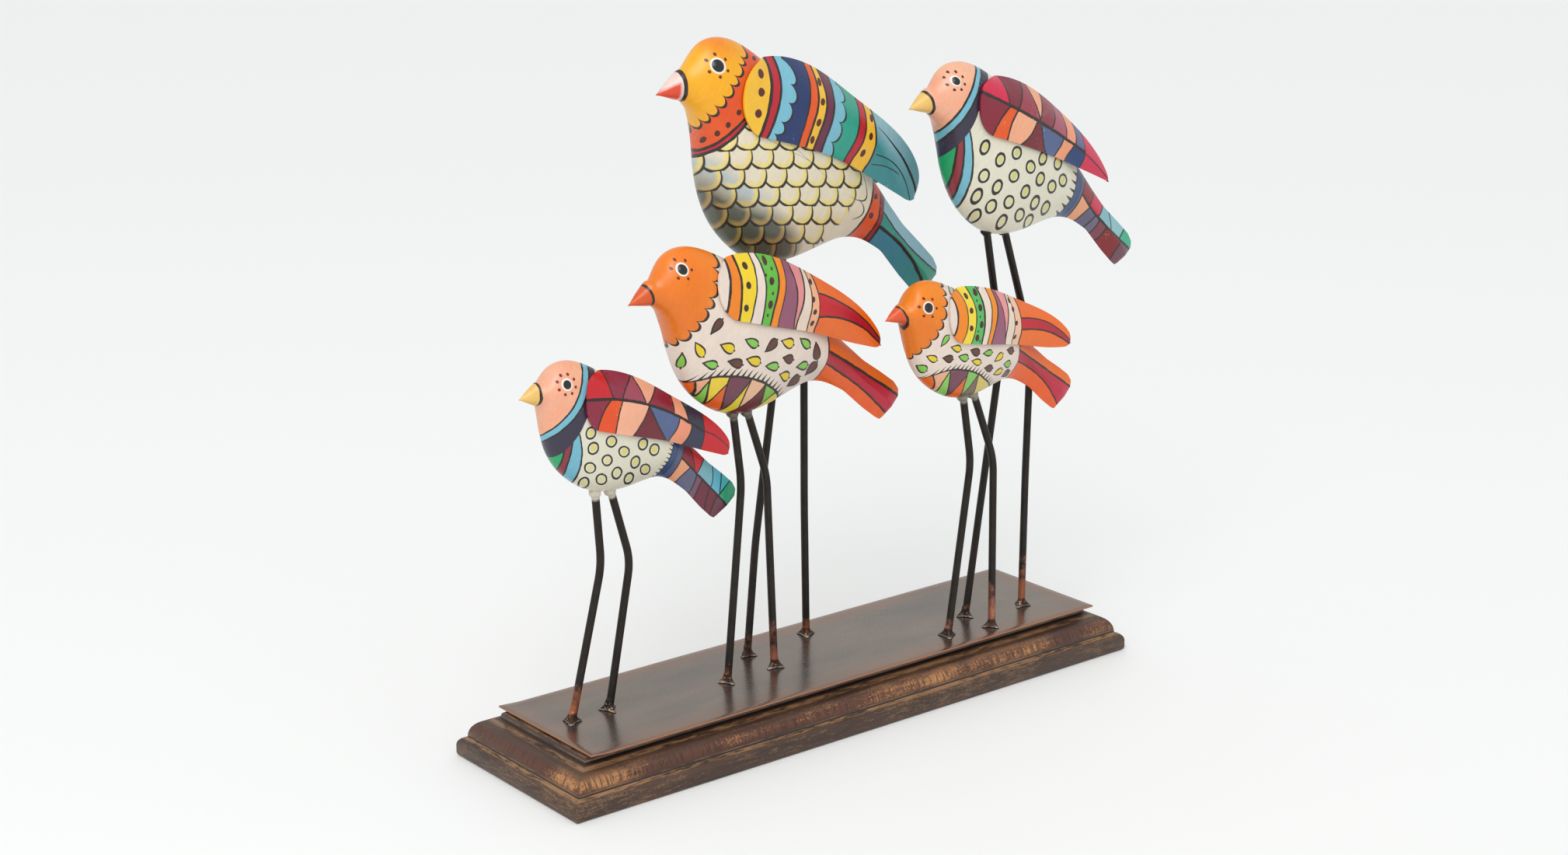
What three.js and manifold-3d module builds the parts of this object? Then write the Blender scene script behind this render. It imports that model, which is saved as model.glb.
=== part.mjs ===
// Five painted sheet-metal birds on bent wire legs, welded to a thin metal plate
// that lies on a moulded wooden plinth.
// Millimetres, +Z up. The origin is the middle of the plinth's underside, X runs
// along the plinth to the right, and the birds' painted show side faces -Y.

import * as THREE from 'three'
import { mergeVertices } from 'three/addons/utils/BufferGeometryUtils.js'
import Module from 'manifold-3d'

const wasm = await Module()
wasm.setup()

// Plinth
const plinthLength = 380
const plinthWidth = 110.7
const boardTop = 25.4

// Plate
const plateLength = 348.2
const plateWidth = 83.6
const plateThickness = 1.0
const plateShift = { x: 1.7, y: -1.1 }

// Sheet metal, wire and fits
const fitGap = 0.3
const wingSheet = 1.2
const wingClearance = 0.6
const wireRadius = 2.1
const kneeBend = 12
const bellyWeldRadius = 3.1
const footWeldRadius = 4.6
const footWeldHeight = 2.4

// Facets
const bodySides = 16
const wingStations = 11
const wingStrips = 6
const wireSides = 8
const wireSteps = 14
const beadRings = 5

const plateUnderside = boardTop + fitGap
const plateTop = plateUnderside + plateThickness
const footLevel = plateTop + fitGap

// Profile of the plinth's moulding, from the outer edge inwards: distance in from
// the edge, and height. A bead, a quirk, an ovolo, a slope and a low top step.
const mouldingProfile = [
  [1.2, 0], [0, 1.2], [0, 6.4], [0.5, 8.0], [1.5, 9.3], [3.0, 10.0], [4.4, 10.2],
  [4.5, 11.4], [5.1, 14.0], [6.9, 16.7], [9.6, 18.8], [12.7, 20.2], [17.0, 22.0],
  [17.1, 22.9], [18.0, 24.3], [19.6, boardTop],
]

// Every bird is one pattern, laid out along X from the beak tip at 0 to the middle
// of the tail end at 100, with the back at +Y and the flanks at +Z and -Z.
// Ribs of the pressed body: back x and y, belly x and y, bulge, crease (0 round,
// 1 folded to a ridge).
const bodyRibs = [
  [4.2, 8.9, 8.2, 1.8, 4.1, 0],
  [4.6, 12.7, 10.6, 0.6, 5.2, 0],
  [5.2, 16.6, 13.2, -1.8, 6.1, 0],
  [8.2, 19.3, 16.0, -5.0, 6.8, 0],
  [12.2, 20.6, 19.2, -9.2, 7.3, 0],
  [17.6, 21.2, 23.6, -13.0, 7.8, 0],
  [24.5, 21.0, 29.4, -15.8, 8.4, 0],
  [33.0, 20.6, 36.8, -17.2, 8.8, 0],
  [43.0, 20.0, 44.6, -17.0, 8.4, 0],
  [53.0, 18.4, 52.8, -13.3, 7.1, 0.05],
  [62.0, 15.4, 60.0, -7.4, 5.4, 0.2],
  [70.0, 12.9, 66.4, -1.9, 3.8, 0.5],
  [77.0, 10.7, 73.0, 0.6, 2.8, 0.8],
  [85.0, 8.4, 82.0, -0.4, 2.4, 1],
  [93.0, 7.0, 91.0, -3.0, 2.1, 1],
  [99.0, 5.8, 97.0, -4.3, 1.6, 1],
  [101.6, 4.4, 98.9, -4.5, 1.1, 1],
  [102.5, 2.6, 99.8, -3.6, 0.6, 1],
]
const throatRib = 2
const breastRib = 5
const rumpRib = 9
const tailRib = 13

// The beak is a cone from the face to its tip.
const beakRoot = [2.9, 8.0, 7.1, 2.2, 3.1]
const beakMiddle = [1.3, 4.0, 3.7, 1.1, 1.9]

// Where the free edge of a wing stands when it is clear of the flank.
const wingTopEdge = 2.2
const wingTopEdgeAtTip = 5.2
const wingLowEdge = 5.4
const wingCrown = 4.3
const wingShoulder = 0.37
const wingElbow = 0.14
const farWingTilt = { front: -2.4, tip: 1.2, rise: 0.9, shorter: 4 }

// The five birds. size is the beak-to-tail length, beak the tip of the beak,
// pitch the fall from beak to tail in degrees. belly and tail widen the pattern,
// head raises the crown, brow and breast move the forehead and the breast back
// (or forward, below 0), chin deepens the beak and rump lowers the belly's rear.
// A wing has its front and tip in pattern units, its rise above and drop below
// the line between them, and how full its tip and how hollow its lower edge is.
// A leg is its top, its knees and its foot.
const flock = [
  {
    name: 'left_bird',
    size: 146.4, beak: [-180.0, 1.1, 200.5], pitch: 31.7, belly: 1.0, tail: 1.42,
    head: 0.93, brow: 1.0, chin: 1.5, breast: -1.8, rump: -1.2,
    wing: { front: [18.1, 15.5], tip: [87.7, 16.1], rise: 9.4, drop: 13.5, full: 0.5, hollow: 1.15 },
    frontLeg: [[-136.6, 1.1, 147.6], [-133.9, 0.7, 106.5], [-154.6, 0.0, footLevel]],
    rearLeg: [[-127.6, 1.1, 146.8], [-115.6, 1.4, 105.0], [-130.0, 2.1, footLevel]],
    colour: 0xddd8c6, wingColour: 0x9a3b4c,
  },
  {
    name: 'middle_bird',
    size: 188.2, beak: [-118.7, -4.9, 239.2], pitch: 24.9, belly: 1.07, tail: 1.14,
    head: 0.99, brow: 0.5, chin: 0, breast: 1.8, rump: -0.3,
    wing: { front: [20.2, 15.4], tip: [84.6, 14.6], rise: 11.4, drop: 9.0, full: 0.75, hollow: 1.08 },
    frontLeg: [[-54.1, -4.9, 175.6], [-48.7, -5.1, 134.3], [-59.4, -5.9, footLevel]],
    rearLeg: [[-45.4, -4.9, 175.0], [-31.7, -4.7, 135.2], [-26.4, -4.1, footLevel]],
    colour: 0xe2d6cb, wingColour: 0xe8862a,
  },
  {
    name: 'tall_bird',
    size: 218.1, beak: [-81.3, 20.9, 336.7], pitch: 33.3, belly: 1.19, tail: 1.0,
    head: 1.04, brow: -0.5, chin: 0, breast: 3.1, rump: 2.2,
    wing: { front: [16.2, 13.1], tip: [79.9, 14.1], rise: 13.7, drop: 9.7, full: 0.45, hollow: 1.9 },
    frontLeg: [[-20.0, 20.9, 247.6], [-5.0, 20.7, 186.0], [-20.6, 19.5, 88.7], [-27.2, 18.5, footLevel]],
    rearLeg: [[-2.0, 20.9, 243.8], [14.2, 20.9, 182.0], [15.4, 22.0, 102.8], [17.8, 23.2, footLevel]],
    colour: 0xdcd2bd, wingColour: 0x3c6f8f,
  },
  {
    name: 'right_bird',
    size: 145.3, beak: [27.5, -29.6, 213.7], pitch: 25.1, belly: 1.0, tail: 1.42,
    head: 0.92, brow: 2.0, chin: 0.7, breast: -0.7, rump: 0,
    wing: { front: [20.9, 15.3], tip: [89.2, 19.0], rise: 9.5, drop: 13.3, full: 0.65, hollow: 0.85 },
    frontLeg: [[83.6, -29.6, 166.2], [91.0, -29.1, 125.0], [77.6, -27.7, footLevel]],
    rearLeg: [[90.8, -29.6, 166.4], [106.9, -30.2, 124.3], [106.9, -31.7, footLevel]],
    colour: 0xe2d6cb, wingColour: 0xe8862a,
  },
  {
    name: 'upper_bird',
    size: 190.9, beak: [56.2, -13.7, 320.0], pitch: 30.9, belly: 1.02, tail: 1.0,
    head: 0.98, brow: 0, chin: 0, breast: 3.9, rump: 0.5,
    wing: { front: [15.6, 13.7], tip: [77.0, 14.2], rise: 10.7, drop: 9.2, full: 0.9, hollow: 1.3 },
    frontLeg: [[113.5, -13.7, 250.4], [128.0, -12.6, 180.0], [106.9, -10.0, footLevel]],
    rearLeg: [[126.5, -13.7, 249.0], [148.2, -14.8, 179.9], [145.3, -16.1, 104.6], [143.5, -17.4, footLevel]],
    colour: 0xddd8c6, wingColour: 0x9a3b4c,
  },
]

const mix = (a, b, t) => a + (b - a) * t
const clamp01 = (t) => Math.min(1, Math.max(0, t))
const ease = (t) => clamp01(t) ** 2 * (3 - 2 * clamp01(t))

// A closed mesh with shared vertices and no empty triangles.
function weldMesh(geometry) {
  geometry.deleteAttribute('normal')
  geometry.deleteAttribute('uv')
  const merged = mergeVertices(geometry, 1e-4)
  const kept = []
  const index = merged.index.array
  for (let i = 0; i < index.length; i += 3) {
    const [a, b, c] = [index[i], index[i + 1], index[i + 2]]
    if (a !== b && b !== c && c !== a) kept.push(a, b, c)
  }
  merged.setIndex(kept)
  return merged
}

function toManifold(geometry) {
  const vertProperties = new Float32Array(geometry.attributes.position.array)
  const triVerts = new Uint32Array(geometry.index.array)
  return new wasm.Manifold(new wasm.Mesh({ numProp: 3, vertProperties, triVerts }))
}

function fromManifold(manifold) {
  const { vertProperties, triVerts } = manifold.getMesh()
  const geometry = new THREE.BufferGeometry()
  geometry.setAttribute('position', new THREE.BufferAttribute(new Float32Array(vertProperties), 3))
  geometry.setIndex(Array.from(triVerts))
  return geometry
}

// What is left of a leg or wing once slivers cut loose by the body are dropped.
function largestPiece(manifold) {
  return manifold.decompose().reduce((most, piece) => (piece.volume() > most.volume() ? piece : most))
}

// A skin over a row of rings. A ring of one point closes an end, and any other
// end is closed flat.
function loft(rings, turned) {
  const positions = []
  const starts = rings.map((ring) => {
    const start = positions.length / 3
    for (const point of ring) positions.push(point.x, point.y, point.z)
    return start
  })
  const index = []
  const face = (a, b, c) => (turned ? index.push(a, c, b) : index.push(a, b, c))
  for (let r = 0; r + 1 < rings.length; r++) {
    const [near, far] = [rings[r].length, rings[r + 1].length]
    const sides = Math.max(near, far)
    for (let i = 0; i < sides; i++) {
      const j = (i + 1) % sides
      const [a, b] = [starts[r] + (i % near), starts[r] + (j % near)]
      const [c, d] = [starts[r + 1] + (i % far), starts[r + 1] + (j % far)]
      if (near > 1) face(a, b, d)
      if (far > 1) face(a, d, c)
    }
  }
  const geometry = new THREE.BufferGeometry()
  geometry.setAttribute('position', new THREE.Float32BufferAttribute(positions, 3))
  geometry.setIndex(index)
  return geometry
}

// One rib of a bird's own body: the pattern's rib with a deeper belly or a wider
// tail. at runs from 0 at the face to the last rib, and parts of a rib are
// blended smoothly.
function bodyRib(bird, at) {
  const last = bodyRibs.length - 1
  const i = Math.min(last - 1, Math.floor(at))
  const t = at - i
  const rows = [i - 1, i, i + 1, i + 2].map((k) => bodyRibs[Math.min(last, Math.max(0, k))])
  const rib = rows[0].map((_, k) => {
    const [a, b, c, d] = rows.map((row) => row[k])
    const bend = (2 * a - 5 * b + 4 * c - d) * t * t + (3 * b - a - 3 * c + d) * t ** 3
    return b + 0.5 * ((c - a) * t + bend)
  })
  rib[0] += bird.brow * (1 - ease((at - 1) / 4))
  rib[1] *= mix(1, bird.head, 1 - ease((at - throatRib) / 5))
  rib[2] += bird.breast * (1 - ease((at - breastRib) / 5))
  rib[3] *= mix(1, bird.belly, ease((at - throatRib) / 3) * (1 - ease((at - rumpRib) / 3)))
  rib[3] -= bird.rump * ease((at - 7) / 3) * (1 - ease((at - 10) / 3))
  const widened = mix(1, bird.tail, ease(1 - (tailRib - at) / 2.5))
  const middle = [(rib[0] + rib[2]) / 2, (rib[1] + rib[3]) / 2]
  for (const k of [0, 2]) {
    rib[k] = mix(middle[0], rib[k], widened)
    rib[k + 1] = mix(middle[1], rib[k + 1], widened)
  }
  return rib
}

// How far the flank bulges at a share of the way down a rib.
function bulgeAt(rib, share) {
  const across = 1 - 2 * clamp01(share)
  return rib[4] * mix(Math.sqrt(1 - across ** 2), 1 - Math.abs(across), rib[5])
}

// The flank's bulge under a point of the pattern's side view.
function flankAt(bird, x, y) {
  const side = (rib) => (rib[2] - rib[0]) * (y - rib[1]) - (rib[3] - rib[1]) * (x - rib[0])
  let low = 0
  let high = bodyRibs.length - 1
  if (side(bodyRib(bird, low)) < 0 || side(bodyRib(bird, high)) > 0) return 0
  for (let k = 0; k < 24; k++) {
    const half = (low + high) / 2
    if (side(bodyRib(bird, half)) > 0) low = half
    else high = half
  }
  const rib = bodyRib(bird, low)
  const down = [rib[2] - rib[0], rib[3] - rib[1]]
  const share = ((x - rib[0]) * down[0] + (y - rib[1]) * down[1]) / (down[0] ** 2 + down[1] ** 2)
  return share < 0 || share > 1 ? 0 : bulgeAt(rib, share)
}

function ribRing(rib) {
  return Array.from({ length: bodySides }, (_, i) => {
    const turn = (2 * Math.PI * i) / bodySides
    const share = (1 - Math.cos(turn)) / 2
    const reach = bulgeAt(rib, share) * Math.sign(Math.sin(turn)) * (i % (bodySides / 2) ? 1 : 0)
    return new THREE.Vector3(mix(rib[0], rib[2], share), mix(rib[1], rib[3], share), reach)
  })
}

// Body, head, beak and tail, pressed and joined as one.
function bodyShape(bird) {
  const rings = [[new THREE.Vector3(0, 0, 0)]]
  for (const [share, cone] of [[0.5, beakMiddle], [1, beakRoot]]) {
    const [backX, backY, bellyX, bellyY, bulge] = cone
    const forward = share * bird.brow * 0.5
    rings.push(ribRing([backX + forward, backY, bellyX, bellyY - share * bird.chin, bulge, 0]))
  }
  for (let at = 0; at < bodyRibs.length; at++) rings.push(ribRing(bodyRib(bird, at)))
  const end = bodyRib(bird, bodyRibs.length - 1)
  rings.push([new THREE.Vector3((end[0] + end[2]) / 2 + 0.2, (end[1] + end[3]) / 2, 0)])
  return loft(rings, false)
}

// A point on a wing's outer face: along from its front to its tip, across from -1
// at the upper edge to 1 at the lower edge.
function wingPoint(bird, along, across) {
  const { front, tip, rise, drop, full, hollow } = bird.wing
  const behindShoulder = clamp01((along - wingShoulder) / (1 - wingShoulder))
  const beforeShoulder = clamp01(1 - along / wingShoulder)
  const behindElbow = clamp01((along - wingElbow) / (1 - wingElbow))
  const beforeElbow = clamp01(1 - along / wingElbow)
  const upper = rise * Math.sqrt(1 - beforeShoulder ** 2) * (1 - behindShoulder ** 2) ** full
  const lower = drop * Math.sqrt(1 - beforeElbow ** 2) * (1 - behindElbow) ** hollow
  const x = mix(front[0], tip[0], along)
  const y = mix(front[1], tip[1], along) + mix(upper, -lower, (across + 1) / 2)
  const rest = flankAt(bird, x, y) + (100 * (wingClearance + wingSheet)) / bird.size
  const freed = ease((along - 0.5) / 0.5)
  const topEdge = mix(wingTopEdge, wingTopEdgeAtTip, freed)
  const edge = mix(topEdge, wingLowEdge, (across + 1) / 2)
  const dome = (1 - Math.abs(across) ** mix(2.2, 1.2, freed)) * Math.sin(Math.PI * along ** 0.62)
  return new THREE.Vector3(x, y, Math.max(rest, edge + wingCrown * dome))
}

// One wing: a domed sheet that follows the flank and stands free at its tip.
function wingShape(bird, side) {
  const sheet = (100 * wingSheet) / bird.size
  const clearance = (100 * wingClearance) / bird.size
  const rings = []
  for (let i = 0; i <= wingStations; i++) {
    const along = (1 - Math.cos((Math.PI * i) / wingStations)) / 2
    const outer = []
    const inner = []
    const ends = i === 0 || i === wingStations
    for (let j = 0; j <= (ends ? 0 : wingStrips); j++) {
      const across = ends ? 0 : -Math.cos((Math.PI * j) / wingStrips)
      const point = wingPoint(bird, along, across)
      const step = 0.02
      const ahead = wingPoint(bird, Math.min(0.999, along + step), across)
      const behind = wingPoint(bird, Math.max(0.001, along - step), across)
      const above = wingPoint(bird, along, across - step)
      const below = wingPoint(bird, along, across + step)
      const outward = ahead.sub(behind).cross(above.sub(below)).normalize()
      if (ends) outward.set(0, 0, 1)
      const under = point.clone().addScaledVector(outward, -sheet)
      under.z = Math.max(under.z, flankAt(bird, under.x, under.y) + clearance)
      outer.push(point)
      inner.push(under)
    }
    rings.push(ends ? [outer[0].lerp(inner[0], 0.5)] : [...outer, ...inner.reverse()])
  }
  for (const point of rings.flat()) point.z *= side
  return loft(rings, side < 0)
}

// The far wing is fixed a little lower at its front and higher at its tip.
function farWinged(bird) {
  const { front, tip, rise } = bird.wing
  const wing = {
    ...bird.wing,
    front: [front[0], front[1] + farWingTilt.front],
    tip: [tip[0] - farWingTilt.shorter, tip[1] + farWingTilt.tip],
    rise: rise * farWingTilt.rise,
  }
  return { ...bird, wing }
}

// Pattern units to millimetres, then to the bird's place in the group.
function placement(bird) {
  const pitch = THREE.MathUtils.degToRad(bird.pitch)
  const turn = new THREE.Quaternion().setFromEuler(new THREE.Euler(Math.PI / 2, pitch, 0, 'YXZ'))
  const size = new THREE.Vector3().setScalar(bird.size / 100)
  return new THREE.Matrix4().compose(new THREE.Vector3(...bird.beak), turn, size)
}

// The same shape grown outwards by the fit gap, for cutting its neighbours.
function grown(geometry, gap) {
  const copy = geometry.clone()
  copy.computeVertexNormals()
  const { position, normal } = copy.attributes
  for (let i = 0; i < position.count; i++) {
    position.setXYZ(
      i,
      position.getX(i) + gap * normal.getX(i),
      position.getY(i) + gap * normal.getY(i),
      position.getZ(i) + gap * normal.getZ(i),
    )
  }
  return copy
}

// A wire leg with its knees bent, a weld bead at the belly and one on the plate.
function legShape(points) {
  const corners = points.map((point) => new THREE.Vector3(...point))
  const route = new THREE.CurvePath()
  let from = corners[0]
  for (let i = 1; i + 1 < corners.length; i++) {
    const knee = corners[i]
    const into = knee.clone().sub(from).setLength(kneeBend)
    const out = corners[i + 1].clone().sub(knee).setLength(kneeBend)
    const start = knee.clone().sub(into)
    const end = knee.clone().add(out)
    route.add(new THREE.LineCurve3(from, start))
    route.add(new THREE.QuadraticBezierCurve3(start, knee, end))
    from = end
  }
  const foot = corners.at(-1)
  route.add(new THREE.LineCurve3(from, foot))
  const section = new THREE.Shape().absarc(0, 0, wireRadius, 0, 2 * Math.PI)
  const wire = new THREE.ExtrudeGeometry(section, {
    steps: wireSteps, curveSegments: wireSides / 2, bevelEnabled: false, extrudePath: route,
  })
  const bead = new THREE.SphereGeometry(bellyWeldRadius, wireSides, beadRings)
  bead.translate(...points[0])
  const puddle = new THREE.CylinderGeometry(wireRadius, footWeldRadius, footWeldHeight, wireSides)
  puddle.rotateX(Math.PI / 2)
  puddle.translate(foot.x, foot.y, footLevel + footWeldHeight / 2)
  const floor = new THREE.BoxGeometry(40, 40, 40).translate(foot.x, foot.y, footLevel - 20)
  return [bead, puddle]
    .reduce((leg, weld) => leg.add(toManifold(weldMesh(weld))), toManifold(weldMesh(wire)))
    .subtract(toManifold(weldMesh(floor)))
}

// A rectangular moulding from a four-sided turning of its profile, drawn out to
// the length.
function plinthShape() {
  const half = plinthWidth / 2
  const turned = mouldingProfile.map(([inset, z]) => new THREE.Vector2((half - inset) * Math.SQRT2, z))
  const outline = [new THREE.Vector2(0, 0), ...turned, new THREE.Vector2(0, boardTop)]
  const geometry = weldMesh(new THREE.LatheGeometry(outline, 4, Math.PI / 4).rotateX(Math.PI / 2))
  const stretch = (plinthLength - plinthWidth) / 2
  const { position } = geometry.attributes
  for (let i = 0; i < position.count; i++) {
    const x = position.getX(i)
    if (Math.abs(x) > 1) position.setX(i, x + Math.sign(x) * stretch)
  }
  return geometry
}

function finish(colour, roughness, metalness) {
  return new THREE.MeshStandardMaterial({ color: colour, roughness, metalness })
}

function named(name, geometry, material) {
  const mesh = new THREE.Mesh(geometry, material)
  mesh.name = name
  return mesh
}

const group = new THREE.Group()
group.add(named('plinth', plinthShape(), finish(0x2e1d14, 0.45, 0)))

const sheet = new THREE.BoxGeometry(plateLength, plateWidth, plateThickness)
const plate = named('plate', sheet, finish(0x3a2c26, 0.25, 1))
plate.position.set(plateShift.x, plateShift.y, plateUnderside + plateThickness / 2)
group.add(plate)

for (const bird of flock) {
  const place = placement(bird)
  const body = bodyShape(bird).applyMatrix4(place)
  const keepOut = toManifold(weldMesh(grown(body, fitGap)))
  group.add(named(`${bird.name}_body`, body, finish(bird.colour, 0.5, 0.1)))
  for (const [label, side] of [['near', 1], ['far', -1]]) {
    const shape = wingShape(side > 0 ? bird : farWinged(bird), side).applyMatrix4(place)
    const wing = largestPiece(toManifold(shape).subtract(keepOut))
    group.add(named(`${bird.name}_${label}_wing`, fromManifold(wing), finish(bird.wingColour, 0.5, 0.1)))
  }
  for (const [label, points] of [['front', bird.frontLeg], ['rear', bird.rearLeg]]) {
    const leg = largestPiece(legShape(points).subtract(keepOut))
    group.add(named(`${bird.name}_${label}_leg`, fromManifold(leg), finish(0x1c1a19, 0.4, 0.8)))
  }
}

export default group
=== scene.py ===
# Five painted sheet-metal birds on bent wire legs, welded to a thin metal plate on a
# moulded wooden plinth. Metres, +Z up; the painted show side faces -Y.
from math import atan2, cos, pi, radians, sin, sqrt

import bpy
from mathutils import Matrix, Vector, noise
from mathutils.bvhtree import BVHTree


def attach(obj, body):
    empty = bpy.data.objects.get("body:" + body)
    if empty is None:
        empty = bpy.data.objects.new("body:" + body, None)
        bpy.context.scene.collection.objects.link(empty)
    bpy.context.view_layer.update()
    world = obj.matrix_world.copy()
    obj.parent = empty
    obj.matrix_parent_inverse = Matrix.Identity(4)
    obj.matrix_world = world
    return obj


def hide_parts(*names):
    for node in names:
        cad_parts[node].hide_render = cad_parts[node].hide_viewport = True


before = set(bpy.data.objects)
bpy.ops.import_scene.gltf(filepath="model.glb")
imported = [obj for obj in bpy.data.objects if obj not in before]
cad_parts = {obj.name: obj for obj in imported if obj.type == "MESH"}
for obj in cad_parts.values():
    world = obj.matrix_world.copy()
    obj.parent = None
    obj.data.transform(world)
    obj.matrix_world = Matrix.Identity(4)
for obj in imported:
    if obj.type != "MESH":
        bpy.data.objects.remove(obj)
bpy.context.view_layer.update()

MM = 0.001

# Sizes, millimetres
PLINTH_LENGTH = 380.0
PLINTH_WIDTH = 110.7
BOARD_TOP = 25.4
PLATE_LENGTH = 348.2
PLATE_WIDTH = 83.6
PLATE_THICKNESS = 1.0
PLATE_SHIFT = (1.7, -1.1)
PLATE_UNDERSIDE = 25.7
PLATE_LIFT = 0.9
PLATE_RIPPLE = 0.12
FOOT_LEVEL = 27.0
WIRE_RADIUS = 2.1
KNEE_BEND = 8.0
BEAD_RADIUS = 3.2
BEAD_DROP = 2.2
PUDDLE_HEIGHT = 5.4
WELD_GRAIN = 0.36
PUPIL_HEIGHT = 0.55
WING_SHEET = 1.2
WING_CLEARANCE = 0.6

# Where a wing is highest and lowest, as shares of its length
WING_SHOULDER = 0.37
WING_ELBOW = 0.14

# Where a tail begins and ends, in hundredths of a bird's length, and how much a body
# swells, as a share of that length, to make up for its rounding
TAIL_ROOT = 60
TAIL_END = 95
BODY_SWELL = 0.0068

# The five birds: beak-to-tail length, tip of the beak, fall from beak to tail in
# degrees, eye and beak root in hundredths of the length, the wing, the legs, and how
# far, how strongly and how pinkly the heat of the weld coloured each leg.
FLOCK = {
    "left_bird": {
        "family": "ringed", "size": 146.4, "beak": (-180.0, 1.1, 200.5), "pitch": 31.7,
        "eye": (10.8, 11.5), "eye_size": 3.3, "beak_root": ((3.4, 8.0), (7.1, 0.7)),
        "front": (18.1, 15.5), "tip": (87.7, 16.1), "rise": 9.4, "drop": 13.5,
        "full": 0.5, "hollow": 1.15, "blunt": 1.3,
        "front_leg": ((-136.6, 1.1, 147.6), (-133.9, 0.7, 106.5), (-154.6, 0.0, FOOT_LEVEL)),
        "rear_leg": ((-127.6, 1.1, 146.8), (-115.6, 1.4, 105.0), (-130.0, 2.1, FOOT_LEVEL)),
        "front_heat": (27, 1.0, 0.2), "rear_heat": (7, 0.3, 0.2), "belly_paint": 0.85,
    },
    "middle_bird": {
        "family": "leafy", "size": 188.2, "beak": (-118.7, -4.9, 239.2), "pitch": 24.9,
        "eye": (9.2, 13.9), "eye_size": 2.6, "beak_root": ((3.15, 8.0), (7.1, 2.2)),
        "front": (20.2, 15.4), "tip": (84.6, 14.6), "rise": 11.4, "drop": 9.0,
        "full": 0.75, "hollow": 1.08, "blunt": 1.2,
        "front_leg": ((-54.1, -4.9, 175.6), (-48.7, -5.1, 134.3), (-59.4, -5.9, FOOT_LEVEL)),
        "rear_leg": ((-45.4, -4.9, 175.0), (-31.7, -4.7, 135.2), (-26.4, -4.1, FOOT_LEVEL)),
        "front_heat": (17, 0.6, 0.2), "rear_heat": (38, 0.9, 0.7), "belly_paint": 0.2,
    },
    "tall_bird": {
        "family": "scaled", "size": 218.1, "beak": (-81.3, 20.9, 336.7), "pitch": 33.3,
        "eye": (8.4, 12.8), "eye_size": 2.5, "beak_root": ((2.65, 8.0), (7.1, 2.2)),
        "front": (16.2, 13.1), "tip": (79.9, 14.1), "rise": 13.7, "drop": 9.7,
        "full": 0.45, "hollow": 1.9, "blunt": 1.4,
        "front_leg": ((-20.0, 20.9, 247.6), (-5.0, 20.7, 186.0), (-20.6, 19.5, 88.7),
                      (-27.2, 18.5, FOOT_LEVEL)),
        "rear_leg": ((-2.0, 20.9, 243.8), (14.2, 20.9, 182.0), (15.4, 22.0, 102.8),
                     (17.8, 23.2, FOOT_LEVEL)),
        "front_heat": (15, 0.9, 0.3), "rear_heat": (13, 0.9, 0.1), "belly_paint": 0.1,
    },
    "right_bird": {
        "family": "leafy", "size": 145.3, "beak": (27.5, -29.6, 213.7), "pitch": 25.1,
        "eye": (11.9, 10.1), "eye_size": 3.5, "beak_root": ((3.9, 8.0), (7.1, 1.5)),
        "front": (20.9, 15.3), "tip": (89.2, 19.0), "rise": 9.5, "drop": 13.3,
        "full": 0.65, "hollow": 0.85, "blunt": 1.5,
        "front_leg": ((83.6, -29.6, 166.2), (91.0, -29.1, 125.0), (77.6, -27.7, FOOT_LEVEL)),
        "rear_leg": ((90.8, -29.6, 166.4), (106.9, -30.2, 124.3), (106.9, -31.7, FOOT_LEVEL)),
        "front_heat": (15, 0.7, 0.6), "rear_heat": (33, 1.0, 0.8), "belly_paint": 0.4,
    },
    "upper_bird": {
        "family": "ringed", "size": 190.9, "beak": (56.2, -13.7, 320.0), "pitch": 30.9,
        "eye": (7.7, 12.95), "eye_size": 2.5, "beak_root": ((2.9, 8.0), (7.1, 2.2)),
        "front": (15.6, 13.7), "tip": (77.0, 14.2), "rise": 10.7, "drop": 9.2,
        "full": 0.9, "hollow": 1.3, "blunt": 0.5,
        "front_leg": ((113.5, -13.7, 250.4), (128.0, -12.6, 180.0), (106.9, -10.0, FOOT_LEVEL)),
        "rear_leg": ((126.5, -13.7, 249.0), (148.2, -14.8, 179.9), (145.3, -16.1, 104.6),
                     (143.5, -17.4, FOOT_LEVEL)),
        "front_heat": (13, 0.6, 0.4), "rear_heat": (48, 0.75, 0.4), "belly_paint": 0.0,
    },
}
FAR_WING = {"front": -2.4, "tip": 1.2, "rise": 0.9, "shorter": 4.0}


def mix(a, b, t):
    return a + (b - a) * t


def clamp01(t):
    return min(1.0, max(0.0, t))


def ease(t):
    t = clamp01(t)
    return t * t * (3.0 - 2.0 * t)


# Mesh steps
def alone(piece):
    """Only this piece is selected and active."""
    bpy.ops.object.select_all(action="DESELECT")
    piece.select_set(True)
    bpy.context.view_layer.objects.active = piece


def named(name):
    """The piece just added, with its name."""
    piece = bpy.context.object
    piece.name = name
    piece.data.name = name
    return piece


def placed(name, data):
    """A new object of this data, in the scene."""
    piece = bpy.data.objects.new(name, data)
    bpy.context.scene.collection.objects.link(piece)
    return piece


def apply_modifier(piece, kind, **settings):
    """Adds a modifier with these settings and applies it."""
    alone(piece)
    modifier = piece.modifiers.new(kind.title(), kind)
    for key, value in settings.items():
        setattr(modifier, key, value)
    bpy.ops.object.modifier_apply(modifier=modifier.name)


def bevel(piece, width, degrees):
    """Rounds the edges sharper than this angle."""
    apply_modifier(piece, "BEVEL", width=width * MM, segments=2, limit_method="ANGLE",
                   angle_limit=radians(degrees))


def refine(piece, levels):
    apply_modifier(piece, "SUBSURF", levels=levels, render_levels=levels)


def edit(piece, mode="VERT"):
    alone(piece)
    bpy.ops.object.mode_set(mode="EDIT")
    bpy.ops.mesh.select_mode(type=mode)
    bpy.ops.mesh.select_all(action="SELECT")


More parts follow.
